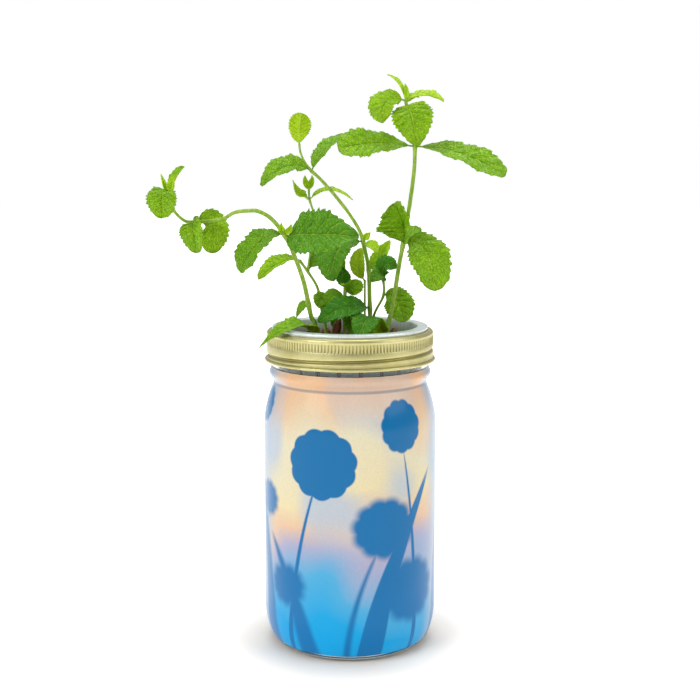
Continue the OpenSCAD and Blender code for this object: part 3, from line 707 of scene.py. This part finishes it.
def jar():
    """The glass, from the middle of its push-up round the outside and down the inside."""
    base = [(0, 3), (12, 2.9), (24, 2.6), (31, 1), (33.5, 0), (FOOT_R - 0.8, 0)]
    rim = arc(NECK_R - 1.2, RIM_Z - 1.2, 1.2, 0, 90) + arc(MOUTH_R + 0.9, RIM_Z - 0.9, 0.9, 90, 180)
    inside_r = BODY_R - WALL
    shoulder = [(inside_r - (inside_r - MOUTH_R) * s ** SHOULDER_CURVE,
                 SHOULDER_Z + (INSIDE_WAIST_Z - SHOULDER_Z) * s) for s in steps_of(14)]
    heel = [(INSIDE_FLAT_R + (inside_r - INSIDE_FLAT_R) * sin(a),
             FLOOR_Z + INSIDE_HEEL * (1 - cos(a))) for a in quarter(14)]
    inside = shoulder[::-1] + heel[::-1] + [(14, FLOOR_Z), (0, FLOOR_Z)]
    bm = spun(base + glass_line() + rim + inside, 144, closed=False)
    add_thread(bm)
    piece(bm, "jar_glass", [glass], "jar", "glass", "glass_jar")


def add_thread(bm):
    """Winds the neck's thread, whose foot is sunk into the neck, a little more than once."""
    profile = [(NECK_R - 0.6, -1.5), (NECK_R, -1.4), (THREAD_R, -0.5),
               (THREAD_R, 0.5), (NECK_R, 1.4), (NECK_R - 0.6, 1.5)]
    corners = [bm.verts.new((-r * MM, 0, (GROOVE_Z + 3 + z) * MM)) for r, z in profile]
    first = bm.faces.new(corners)
    turn, step = 380, 5
    bmesh.ops.spin(bm, geom=[first] + list(first.edges) + corners, cent=(0, 0, 0), axis=(0, 0, 1),
                   dvec=(0, 0, LEAD * MM * step / 360), angle=radians(turn), steps=turn // step)
    bmesh.ops.recalc_face_normals(bm, faces=bm.faces)


def sleeve():
    """The film, which follows the glass from just above its foot to under the band."""
    outside, inside = ([p for p in glass_line(grow) if FILM_LOW <= p[1] <= FILM_HIGH]
                       for grow in (FILM_OUT, FILM_IN))
    bm = spun(outside + inside[::-1], 160)
    piece(bm, "printed_sleeve", [film], "jar", "print", "print_sleeve", sharp=60)


jar()
sleeve()


# Screw band

# Half the groove's width, and its depth outside and inside
GROOVE_HALF, GROOVE_DEEP, GROOVE_DEEP_INSIDE = 1.25, 1.2, 1.1
# Added to the heights of points, outside and inside, that follow the groove
OUTSIDE_MARK, INSIDE_MARK = 1000, 2000


def thread_z(turn):
    """Height of the groove's middle: GROOVE_Z at 180 degrees. It drops back where it has faded."""
    def height(at):
        return GROOVE_Z + LEAD * (at - 180) / 360
    first, last = GROOVE_START + GROOVE_FADE / 2, GROOVE_END - GROOVE_FADE
    if turn < last:
        return height(max(first, turn))
    back = (turn - last) / (GROOVE_START + 360 - last)
    return height(last) + (height(first) - height(last)) * back


def thread_depth(turn):
    """Share of the groove's whole depth."""
    return clamped(min((turn - GROOVE_START) / GROOVE_FADE, (GROOVE_END - turn) / GROOVE_FADE))


def band_outline():
    """Radii and heights round the band's sheet. Marked heights are shaped by the groove."""
    groove = [(v, 0.5 + 0.5 * cos(pi * min(1, abs(v) / GROOVE_HALF)))
              for v in (-1.5 + 0.25 * i for i in range(13))]
    roll_top, lip_under, corner = ROLL_Z + ROLL, LIP_Z - LIP_T, 1.8
    return [
        *arc(ROLL_R - ROLL, ROLL_Z, ROLL, -160, 80, 16), (SKIRT_OUT + 0.02, roll_top + 0.1),
        *((SKIRT_OUT - GROOVE_DEEP * deep, OUTSIDE_MARK + v) for v, deep in groove),
        (SKIRT_OUT, KNURL_LOW - 0.5), (SKIRT_OUT - 0.1, KNURL_LOW - 0.15),
        (SKIRT_OUT, KNURL_LOW + 0.15), (SKIRT_OUT, KNURL_HIGH - 0.15),
        (SKIRT_OUT - 0.1, KNURL_HIGH + 0.15),
        *arc(SKIRT_OUT - corner, LIP_Z - corner, corner, 0, 90, 10),
        (LIP_HOLE_R + 0.15, LIP_Z), (LIP_HOLE_R, LIP_Z - LIP_T / 2),
        (LIP_HOLE_R + 0.15, lip_under), (SKIRT_IN - 1, lip_under),
        (SKIRT_IN - 0.3, LIP_Z - 0.9), (SKIRT_IN, LIP_Z - corner),
        *((SKIRT_IN - GROOVE_DEEP_INSIDE * deep, INSIDE_MARK - v) for v, deep in groove),
        (SKIRT_IN, roll_top + 0.05),
    ]


def band():
    """The sheet-metal ring: a plain ring at first, then grooved and knurled point by point."""
    bm = spun(band_outline(), 4 * RIBS)
    # How much painted shade the gold gets at each point: by the groove's depth, and full round the
    # roll
    crease_shade = bm.verts.layers.float.new("crease_shade")
    for v in bm.verts:
        r, z = hypot(v.co.x, v.co.y) / MM, v.co.z / MM
        turn = degrees(atan2(v.co.y, v.co.x)) % 360
        if turn < GROOVE_START:
            turn += 360
        if z > OUTSIDE_MARK / 2:
            is_inside = z > (OUTSIDE_MARK + INSIDE_MARK) / 2
            mark, flat = (INSIDE_MARK, SKIRT_IN) if is_inside else (OUTSIDE_MARK, SKIRT_OUT)
            v.co.z = (thread_z(turn) + z - mark) * MM
            v.co.xy *= (flat + (r - flat) * thread_depth(turn)) / r
            v[crease_shade] = abs(r - flat) / GROOVE_DEEP * thread_depth(turn)
        elif z < ROLL_Z + ROLL + 0.2 and r < SKIRT_OUT + 0.3:
            v[crease_shade] = 1
        elif KNURL_LOW < z < KNURL_HIGH and r > SKIRT_OUT - 0.05:
            wave = 0.5 + 0.5 * cos(radians(turn - GROOVE_START) * RIBS)
            v.co.xy *= (RIB_LOW_R + (RIB_HIGH_R - RIB_LOW_R) * wave) / r
    bmesh.ops.recalc_face_normals(bm, faces=bm.faces)
    piece(bm, "gold_band", [gold], "band", "gold_band", "screw_band", sharp=50)


band()

# The ring and the pot are right as they are packed, and get their finish

for node, finish in (("seat_ring", soft_ring), ("net_pot", steel)):
    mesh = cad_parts[node].data
    mesh.materials.clear()
    mesh.materials.append(finish)


# Wick and medium


def wick():
    """A felt strip that hangs from the slot in the pot's floor, a little wavy below it."""
    bm = bmesh.new()
    bmesh.ops.create_grid(bm, x_segments=16, y_segments=96, size=0.5)
    for v in bm.verts:
        z = WICK_LOW + WICK_LONG * (v.co.y + 0.5)
        free = clamped((WICK_FREE - z) / 40)
        wave = sin(z / 17) * 2.2 + sin(z / 7 + v.co.x * 3) * 0.35
        v.co = Vector((v.co.x * WICK_WIDE, wave * free, z)) * MM
    strip = piece(bm, "wick_strip", [felt], "pot", "felt", "felt_wick")
    walls = strip.modifiers.new("thickness", "SOLIDIFY")
    walls.thickness, walls.offset = WICK_THICK * MM, 0
    edges = strip.modifiers.new("soft_edges", "BEVEL")
    edges.width, edges.segments, edges.limit_method = 0.5 * MM, 2, "ANGLE"


# How much higher the medium is in its middle, and how many fibres lie on it
MEDIUM_DOME, FIBRES = 2.2, 260


def medium():
    """The plug of coir, rough on top, with loose fibres."""
    chance = random.Random(11)
    floor_line = [(r, MEDIUM_LOW) for r in (0, 10, 20)]
    wall = [(MEDIUM_LOW_R + (MEDIUM_R - MEDIUM_LOW_R) * s, MEDIUM_LOW + (MEDIUM_Z - MEDIUM_LOW) * s)
            for s in steps_of(12)]
    top = [(MEDIUM_R * (1 - s), MEDIUM_Z + MEDIUM_DOME * sin(pi / 2 * s)) for s in steps_of(26)[1:]]
    bm = spun(floor_line + wall + top, 120, closed=False)
    for v in bm.verts:
        place = v.co / MM
        rough = noise.noise(place * 0.28) * 0.9 + noise.noise(place * 0.9) * 0.45
        if place.z > MEDIUM_Z - 1 and place.xy.length < MEDIUM_R - 0.7:
            v.co.z += rough * MM
        elif place.z > MEDIUM_LOW + 0.9:
            v.co.xy *= 1 - max(0, 0.012 * rough)
    for _ in range(FIBRES):
        add_fibre(bm, chance)
    piece(bm, "coir_plug", [coir], "pot", "coir", "coco_medium")


def add_fibre(bm, chance):
    """Adds a loose fibre that lies on the medium in a low arch, within the pot's wall."""
    turn, far = chance.uniform(0, tau), 32 * sqrt(chance.random())
    heading, length = chance.uniform(0, tau), chance.uniform(4, 11)
    bend = chance.uniform(-0.5, 0.5)
    lift = chance.uniform(0.3, 1.6)
    points = []
    for s in steps_of(4):
        way = heading + bend * s
        x = far * cos(turn) + cos(way) * length * (s - 0.5)
        y = far * sin(turn) + sin(way) * length * (s - 0.5)
        shrink = min(1, (MEDIUM_R - 0.8) / max(0.1, hypot(x, y)))
        z = MEDIUM_Z + 1.1 + lift * sin(pi * s)
        points.append((x * shrink, y * shrink, z))
    fibre_r = chance.uniform(0.12, 0.25)
    tube(bm, points, [fibre_r * (1.15 - s) for s in steps_of(4)], fine=0)


# Pieces of husk: centre and half sizes, as in the CAD
CHUNKS = [
    ((-7, 5, 164), (2.6, 2.4, 6.5)), ((22.5, 4, 161.5), (2.2, 2.4, 4.5)),
    ((-22, 7, 162), (4.5, 2, 1.6)), ((12.5, 19, 163), (3.4, 2.6, 3)),
    ((-14, -4, 160.5), (3.4, 3, 2.4)), ((4, 16, 161), (4, 3, 2.6)),
    ((1, -19, 159.5), (4, 3, 2.4)), ((17, -14, 160), (3.6, 2.8, 2.6)),
    ((-13, 21, 160), (3.6, 3, 2.6)), ((26, 12, 159.5), (3, 2.8, 2.4)),
    ((-26, -9, 159), (3, 2.6, 2.2)), ((-9, -25, 159), (3.2, 2.6, 2.2)),
]


def chunks():
    """Rough lumps, each turned its own way."""
    bm = bmesh.new()
    for number, (centre, half) in enumerate(CHUNKS, 1):
        made = bmesh.ops.create_icosphere(bm, subdivisions=4, radius=1)["verts"]
        for v in made:
            rough = 0.9 + 0.22 * noise.noise(v.co * 1.3 + Vector((number * 7, 0, 0)))
            rough += 0.07 * noise.noise(v.co * Vector((6, 6, 1.6)) + Vector((0, number * 5, 0)))
            v.co = Vector(a * b * rough for a, b in zip(v.co, half))
        way = turned(12 * number, 9 * number, 50 * number)
        bmesh.ops.rotate(bm, verts=made, cent=(0, 0, 0), matrix=way)
        for v in made:
            v.co = (v.co + Vector(centre)) * MM
    piece(bm, "husk_pieces", [husk], "pot", "husk", "coco_chunks", sharp=60)


wick()
medium()
chunks()


# Plant

# The eye's distance and height, and how far the plant is drawn in and lowered as it goes up
EYE_FAR, EYE_Z, DRAW_IN, SAG = 650, 252, 0.0003, 0.00019
POT_TOP = 160
# How far each sprig leans back in each 100 mm up
TALL, MIDDLE, RUNNER, LEFT, UPRIGHT = 10, 30, -30, 20, 0


def leant(place, lean):
    """A place on a sprig that leans back. It moves along the eye's line of sight."""
    x, y, z = place
    high = max(0, z - POT_TOP)
    x *= 1 - DRAW_IN * high
    z -= SAG * high * high
    back = lean * high / 100
    s = (EYE_FAR + y + back) / (EYE_FAR + y)
    return Vector((x * s, y + back, EYE_Z + (z - EYE_Z) * s))


# Height of the stems' lower ends, in the medium
ROOT = 150
# Stems: lean, then parts, each with its radii at its start and end and its route
STEMS = {
    "stem_tall": [TALL, (1.3, 1, [
        (18, 2, ROOT), (19.5, 2, 164), (23, 2, 180), (26, 1, 199), (29, 0, 215), (32, -2, 234),
        (34, -4, 250), (34.5, -5, 262),
    ]), (0.9, 0.7, [
        (34.5, -5, 262), (32.5, -5, 274), (29.5, -6, 287),
    ])],
    "stem_middle": [MIDDLE, (1.2, 0.8, [
        (11.5, 8, ROOT), (11, 8, 163), (10.5, 8, 179), (10, 7, 196), (8, 6, 207), (5.5, 4, 216.5),
        (0, 2, 226), (-8, 0, 236.5), (-16, -2, 245.5), (-20.5, -3, 249.5),
    ]), (0.75, 0.5, [
        (-20.5, -3, 249.5), (-24.5, -2.5, 255), (-26.5, -2, 260), (-27, -2, 264),
    ])],
    "stem_runner": [RUNNER, (1.3, 0.7, [
        (-17, -8, ROOT), (-18, -8, 168), (-20.5, -8, 174), (-24, -10, 191), (-29, -12, 205.5),
        (-33.5, -14, 215.5), (-40.5, -15, 224.5), (-47, -16, 228.5), (-52, -16, 229),
        (-60, -15, 228), (-65.5, -15, 225), (-74, -14, 223.5), (-80.5, -13, 223), (-86, -12, 223.5),
        (-91, -11, 227.5), (-93.5, -10, 231.5), (-95, -10, 237),
    ])],
    "stem_left": [LEFT, (0.9, 0.7, [
        (-12.5, 10, ROOT), (-13, 10, 164), (-15.5, 10, 176.5), (-17.5, 9, 186.5), (-22.5, 8, 195),
        (-27, 6, 201.5),
    ])],
    "stem_slim": [LEFT, (0.65, 0.5, [
        (-22.5, 8, 195), (-22, 9.5, 201), (-20.5, 12, 212), (-19.5, 15, 224.5), (-22, 17, 233.5),
        (-22.5, 18, 239),
    ])],
    "stem_pale": [UPRIGHT, (0.6, 0.5, [
        (8, 16, ROOT), (8, 16, 177.5), (8, 16, 190),
    ])],
    "stem_dark": [UPRIGHT, (0.7, 0.6, [
        (11, 14, ROOT), (12.5, 14, 169.5), (18, 14, 181.5), (18, 13, 190),
    ])],
    "stem_short": [UPRIGHT, (0.9, 0.8, [
        (-2, 4, ROOT), (-3, 5, 170), (-2.5, 6, 187),
    ])],
}

# Leaves of each node: lean, then for each leaf its base, pull, tip, half width, the way its
# face looks, fold, broadness and shade. The shade is partly the leaf's own tone and partly
# painted shade, darker for leaves that lie in the shade of others. The last three are left out
# where they are usual.
LEAVES = {
    "leaves_tall_top": [(TALL, [
        ((30, -6, 284.5), (32.5, -16, 283), (35, -14, 262.5), 10.8, (0, -1, 0.5), 12, 1.12, 0.18),
        ((29.3, -6.1, 287), (15, -9, 291), (17.5, -13, 275), 9, (-0.5, -0.7, 0.5), 12, 1.2, 0.14),
        ((29.7, -6, 287.1), (40, -4, 293), (50, -3, 286.5), 5.2, (0.1, -0.35, 1), 20, 1.35, 0),
        ((29.4, -6, 287.1), (27, -4, 298), (20, -3, 301), 2.6, (1, -0.6, 0.3)),
        ((29.6, -6.2, 287.2), (30.2, -5, 292), (29.4, -4.6, 296), 1.6, (0.3, -1, 0), 30, 1, 0),
        ((29.9, -5.7, 285.6), (34, -1, 291), (37, 3, 289), 3.4, (0, -0.6, 1)),
    ])],
    "leaves_tall_upper": [(TALL, [
        ((34, -5, 262.6), (12, -7, 266.5), (-6, -10, 261), 10, (0.1, -0.7, 0.7), 10, 1.5, 0.3),
        ((34.8, -5, 262.5), (58, -7, 263), (81.5, -9, 247), 10.2, (0.25, -0.6, 0.8), 10, 1.5, 0.32),
        ((34.9, -5.2, 262.3), (36.5, -6, 264.5), (38, -7, 267.5), 1.4, (0.4, -1, 0), 30, 1, 0),
    ])],
    "leaves_tall_lower": [(TALL, [
        ((28.4, -0.2, 210), (31, -8, 221), (23.5, -3, 232.5), 14.2, (-0.6, -0.75, 0.15),
         45, 1.2, 0.35),
        ((28.8, 0.1, 210.6), (42, -9, 217), (44, -13, 187), 11.8, (0.35, -0.9, 0.4), 8, 1.35, 0.3),
        ((28.6, 0.8, 210), (33, 8, 216), (37, 12, 219), 5, (0, -0.5, 0.9), 20, 1.2, 0.4),
    ])],
    "leaves_middle_top": [(MIDDLE, [
        ((-21, -3.2, 250), (-34, -7, 257.5), (-46.5, -11, 242), 8.5, (-0.3, -0.6, 0.75),
         14, 1.1, 0.35),
        ((-20.3, -3, 249.7), (-15, 0, 262), (-2, 5, 269), 7.5, (-0.5, -0.4, 0.8), 18, 1.3, 0.4),
        ((-27, -2, 263.5), (-28, 3, 272), (-26, 0, 280.5), 6.4, (0.1, 1, 0.2), 16, 1.4, 0.1),
    ])],
    "leaves_middle_low": [(MIDDLE, [
        ((7.4, 5, 211.5), (-11, -2, 214), (-9, -7, 191.5), 10, (-0.4, -0.7, 0.6), 18, 1.25, 0.85),
        ((7.8, 5.4, 210.4), (12, 2, 211), (14.5, 0.5, 205.5), 3.6, (0.3, -0.8, 0.5), 20, 1.1, 0),
        ((7.4, 5.2, 212), (9, 3.5, 215), (11, 2, 216.5), 2, (0.2, -1, 0.4)),
        ((10.2, 7, 196), (15, 9, 200), (21.5, 9, 212), 4.6, (-0.4, -0.8, 0.4), 20, 1.15, 0),
    ])],
    "leaf_runner_big": [(RUNNER, [
        ((-33, -14.5, 215.5), (-24, -24, 218.5), (4.5, -24, 216), 13.2, (0.05, -0.82, 0.55),
         12, 1.12, 0.72),
    ])],
    "leaves_runner_node": [(RUNNER, [
        ((-34.6, -14.4, 216.5), (-47, -18, 219), (-56, -22, 197.5), 9, (-0.35, -0.6, 0.7),
         16, 1.42, 0.6),
        ((-34.4, -14.6, 217), (-36, -16, 219), (-35.5, -16, 222.5), 2, (0, -1, 0.3)),
        ((-33.8, -14.6, 216.6), (-31, -17, 219), (-30.5, -17.5, 222), 1.8, (0.3, -1, 0.3)),
    ])],
    "leaves_runner_mid": [(RUNNER, [
        ((-80.8, -13.4, 222.8), (-82, -20, 226), (-78.5, -20, 207.5), 7.4, (-0.5, -0.85, 0.2),
         20, 1.35, 0.35),
        ((-80, -12.6, 223), (-70, -6, 229), (-72.5, -9, 206.5), 8.4, (0.3, -0.9, 0.3),
         12, 1.35, 0.15),
    ])],
    "leaves_runner_tip": [(RUNNER, [
        ((-95.3, -10.6, 236.8), (-98, -20, 244), (-96.5, -20, 225.5), 7.6, (-0.1, -0.95, 0.4),
         12, 1.4, 0.25),
        ((-94, -9.1, 236.2), (-94, -7, 245), (-87.5, -6, 252), 4.2, (-0.8, -0.4, 0.2),
         30, 1.2, 0.2),
        ((-95.9, -9.5, 237), (-97.5, -9.4, 243), (-99.5, -9, 248), 1.3, (0.6, -1, 0)),
        ((-94.6, -10.3, 237.4), (-93.6, -11.4, 243), (-92, -11.6, 247), 2.3, (-0.2, -1, 0.1)),
    ])],
    "leaves_left": [(LEFT, [
        ((-26.8, 6, 201.5), (-37, 1, 204), (-48, -4, 192), 6, (0, -0.35, 0.9), 25, 1.2, 0.05),
        ((-22.4, 8.4, 196.1), (-13, 14, 208), (-3.5, 15, 194.5), 8, (0, -0.6, 0.8), 16, 1.15, 0.6),
        ((-14.6, 9.7, 172.9), (-13.5, 4, 185), (-17, 1, 177), 5, (0, -0.8, 0.5), 16, 1.3, 0.4),
    ])],
    "leaves_slim": [(LEFT, [
        ((-22.5, 18, 239), (-25.4, 17.6, 243), (-24.6, 17, 247), 2, (0.5, -1, 0), 30, 1, 0),
        ((-22.5, 18, 239), (-20, 19, 243), (-20.8, 19.4, 247), 2, (-0.5, -1, 0), 30, 1, 0),
        ((-22, 16.9, 233.2), (-27, 15, 236), (-31, 13, 244.5), 2.7, (-0.6, -0.2, 0.75)),
        ((-22, 17.1, 233.8), (-12, 19, 244), (1.5, 20, 233.5), 3.5, (0, -0.25, 1), 20, 1, 0),
    ])],
    "leaf_pale": [(UPRIGHT, [
        ((8, 16, 189.5), (1, 14, 198), (6.5, 13, 207.5), 4.2, (-0.2, -1, 0.1), 14, 1.2, 0),
    ])],
    "leaves_dark": [(UPRIGHT, [
        ((18, 14, 182), (26, 12, 184), (28.5, 8, 168), 8.5, (0.15, -0.9, 0.4), 10, 1.35, 0.4),
        ((18, 13, 190.1), (16, 10, 203), (25, 9, 197), 5.5, (-0.1, -0.7, 0.6), 16, 1.2, 0.9),
        ((17.9, 13, 189.5), (17, 7, 197), (11.5, 4, 190), 4.6, (0, -0.8, 0.6), 16, 1.15, 0.8),
    ])],
    "leaves_short_top": [(UPRIGHT, [
        ((-2.6, 6.3, 186.6), (-4, 10, 190), (-4, 12, 197), 4.2, (0.1, -0.9, 0.3), 16, 1.2, 0.95),
        ((-2.3, 5.7, 184.4), (2, 2, 187.5), (1, 0, 191.5), 6.2, (0.1, -0.9, 0.3), 14, 1.35, 0.5),
        ((-3, 5.3, 179.9), (-8, 0, 186), (-12.5, -2, 178.5), 5, (-0.1, -0.7, 0.6), 16, 1.25, 0.55),
    ])],
    "leaves_short_low": [(UPRIGHT, [
        ((-3.2, 5.3, 171), (-7, 12, 176), (-9, 14, 164), 4.4, (-0.2, -0.8, 0.5), 20, 1.1, 0.7),
        ((-2.7, 4.9, 172), (1.5, 0.8, 175.5), (0, -1.6, 162.5), 4.4, (0, -1, 0.2), 16, 1.1, 0.65),
    ])],
    "leaf_over_rim": [(UPRIGHT, [
        ((-16.9, -8.8, 161.5), (-24, -22, 179), (-46, -29, 159.5), 7.6, (-0.35, -0.45, 0.85),
         18, 0.95, 0.4),
    ])],
    "leaves_low": [(UPRIGHT, [
        ((18.6, 1.7, 161.1), (14, -3, 165), (17, -4, 171.5), 4.8, (0, -1, 0.2), 20, 1.2, 0.2),
    ]), (MIDDLE, [
        ((10.4, 7.3, 175.4), (-2, -16, 183), (-16.3, -17, 171), 6.5, (0, -0.9, 0.5),
         16, 1.15, 0.95),
        ((10.4, 7.2, 168.3), (10, -12, 178), (4, -17, 162.5), 7.2, (0, -0.8, 0.6), 14, 1.25, 0.95),
    ]), (RUNNER, [
        ((-21.4, -8.4, 179.5), (-25, -6, 180), (-28, -5, 172), 2.8, (-0.6, -0.7, 0.3), 20, 1, 0.4),
    ])],
}

# A leaf's stalk: its share of the leaf's length, and half its width. Then a leaf's thickness.
STALK, STALK_HALF, LEAF_THICK = 0.07, 0.45, 0.4
# The parts of leaves with a half width over LARGE, and of the others, each with its rows of
# faces, its columns, its teeth on each side and how much it is quilted
LARGE, LARGE_LEAF, SMALL_LEAF = 5, (90, 28, 13, 0.075), (40, 14, 7, 0.05)


def smooth_line(points, count):
    """A smooth curve through the points, with a number of steps in each stretch."""
    made = []
    for i in range(len(points) - 1):
        a, b = points[max(0, i - 1)], points[i]
        c, d = points[i + 1], points[min(len(points) - 1, i + 2)]
        for k in range(count):
            t = k / count
            made.append(0.5 * (2 * b + (c - a) * t + (2 * a - 5 * b + 4 * c - d) * t * t
                               + (3 * b - a - 3 * c + d) * t ** 3))
    return made + [points[-1]]


def stems():
    """The stems, a little thicker where leaves join them."""
    joints = [leant(base, lean) for sprigs in LEAVES.values() for lean, group in sprigs
              for base, *_ in group]
    for name, (lean, *parts) in STEMS.items():
        bm = bmesh.new()
        for start_r, end_r, route in parts:
            line = smooth_line([leant(p, lean) for p in route], 9)
            radii = []
            for i, place in enumerate(line):
                near = min((place - joint).length for joint in joints)
                swell = 1 + 0.3 * exp(-(near / 2.2) ** 2)
                radii.append((start_r + (end_r - start_r) * i / (len(line) - 1)) * swell)
            tube(bm, line, radii)
        bmesh.ops.recalc_face_normals(bm, faces=bm.faces)
        piece(bm, name + "_skin", [stem_skin], "pot", "stem", name, sharp=60)


def leaf(bm, chance, lean, base, pull, tip, half, face, fold=25, broad=1, shade=0):
    """Adds a leaf's upper side: toothed edge, quilted between its veins, a little uneven."""
    a, b, c = (leant(p, lean) for p in (base, pull, tip))
    face = Vector(face)
    fold = radians(fold)
    rows, across, teeth, quilt = LARGE_LEAF if half > LARGE else SMALL_LEAF
    quilt *= half
    widest = 0.4 + 0.6 * (broad - 1)
    sway, ripple = chance.uniform(0, tau), chance.uniform(0.04, 0.08) * half
    seed = chance.uniform(0, 50)
    shade = clamped(shade + chance.uniform(-0.06, 0.06))
    made = bmesh.ops.create_grid(bm, x_segments=across, y_segments=rows, size=1)["verts"]
    shades, sizes = bm.verts.layers.float["shade"], bm.verts.layers.float["size"]
    flats = bm.verts.layers.float_vector["flat"]
    for v in made:
        # Across the leaf from -1 to 1, along it from 0 to 1, and along its blade alone
        u, t = v.co.x, (v.co.y + 1) / 2
        s = (t - STALK) / (1 - STALK)
        v[shades], v[sizes] = shade, min(1, half / 10)
        v[flats] = Vector(((u + 1) / 2, t, 0))
        middle = (1 - t) ** 2 * a + 2 * t * (1 - t) * b + t * t * c
        run = ((1 - t) * (b - a) + t * (c - b)).normalized()
        side = run.cross(face).normalized()
        up = side.cross(run)
        width, bulge = STALK_HALF, 0.0
        if s > 0:
            bulge = sin(pi * s ** (log(0.5) / log(widest))) if s < 1 else 0
            width = max(0.3, half * bulge ** (0.85 / broad ** 2))
            drift = 0.35 * noise.noise(Vector((s * 6, seed, u)))
            tooth = (s * teeth + drift + 0.15) % 1 - 0.5
            width *= 1 + 0.14 * tooth * abs(u) ** 5 * min(1, 6 * s, 10 * (1 - s))
        phase = (t - VEIN_SLOPE * abs(u)) * VEINS
        pillow = abs(sin(pi * phase)) ** 0.7
        pillow *= min(1, 5 * abs(u)) * min(1, 3.2 * (1 - abs(u)))
        lift = quilt * bulge * (pillow - 0.5 * exp(-(u / 0.09) ** 2))
        wave = sin(5.5 * pi * t + sway + 1.3 * u)
        wave += 0.5 * sin(15 * pi * t + 2 * sway + u)
        lift += ripple * u * u * wave * min(1, 4 * max(0, s))
        wrinkle = noise.noise(Vector((u * width * 0.75, t * (c - a).length * 0.75, seed)))
        lift += 0.06 * half * bulge * wrinkle
        rise = abs(u) ** 1.25 * width * sin(fold)
        v.co = (middle + side * (u * width * cos(fold)) + up * (rise + lift)) * MM


def leaves():
    """A piece for each node of leaves. Its underside comes from its thickness."""
    for number, (name, sprigs) in enumerate(LEAVES.items()):
        chance = random.Random(number)
        bm = bmesh.new()
        bm.verts.layers.float.new("shade")
        bm.verts.layers.float.new("size")
        bm.verts.layers.float_vector.new("flat")
        for lean, group in sprigs:
            for values in group:
                leaf(bm, chance, lean, *values)
        unfolded = bm.loops.layers.uv.new("UVMap")
        flats = bm.verts.layers.float_vector["flat"]
        for face in bm.faces:
            for loop in face.loops:
                loop[unfolded].uv = loop.vert[flats].xy
        bm.verts.layers.float_vector.remove(flats)
        label = name.replace("leaves_", "foliage_").replace("leaf_", "foliage_")
        made = piece(bm, label, [leaf_top, leaf_under], "pot", "leaf", name, sharp=80)
        walls = made.modifiers.new("thickness", "SOLIDIFY")
        walls.thickness, walls.offset, walls.material_offset = LEAF_THICK * MM, 0, 1


stems()
leaves()


# Floor


FLOOR_HALF_M = 6


def floor():
    bm = bmesh.new()
    bmesh.ops.create_grid(bm, x_segments=8, y_segments=8, size=FLOOR_HALF_M)
    made = linked("floor", mesh_of(bm, "floor", floor_paint))


floor()
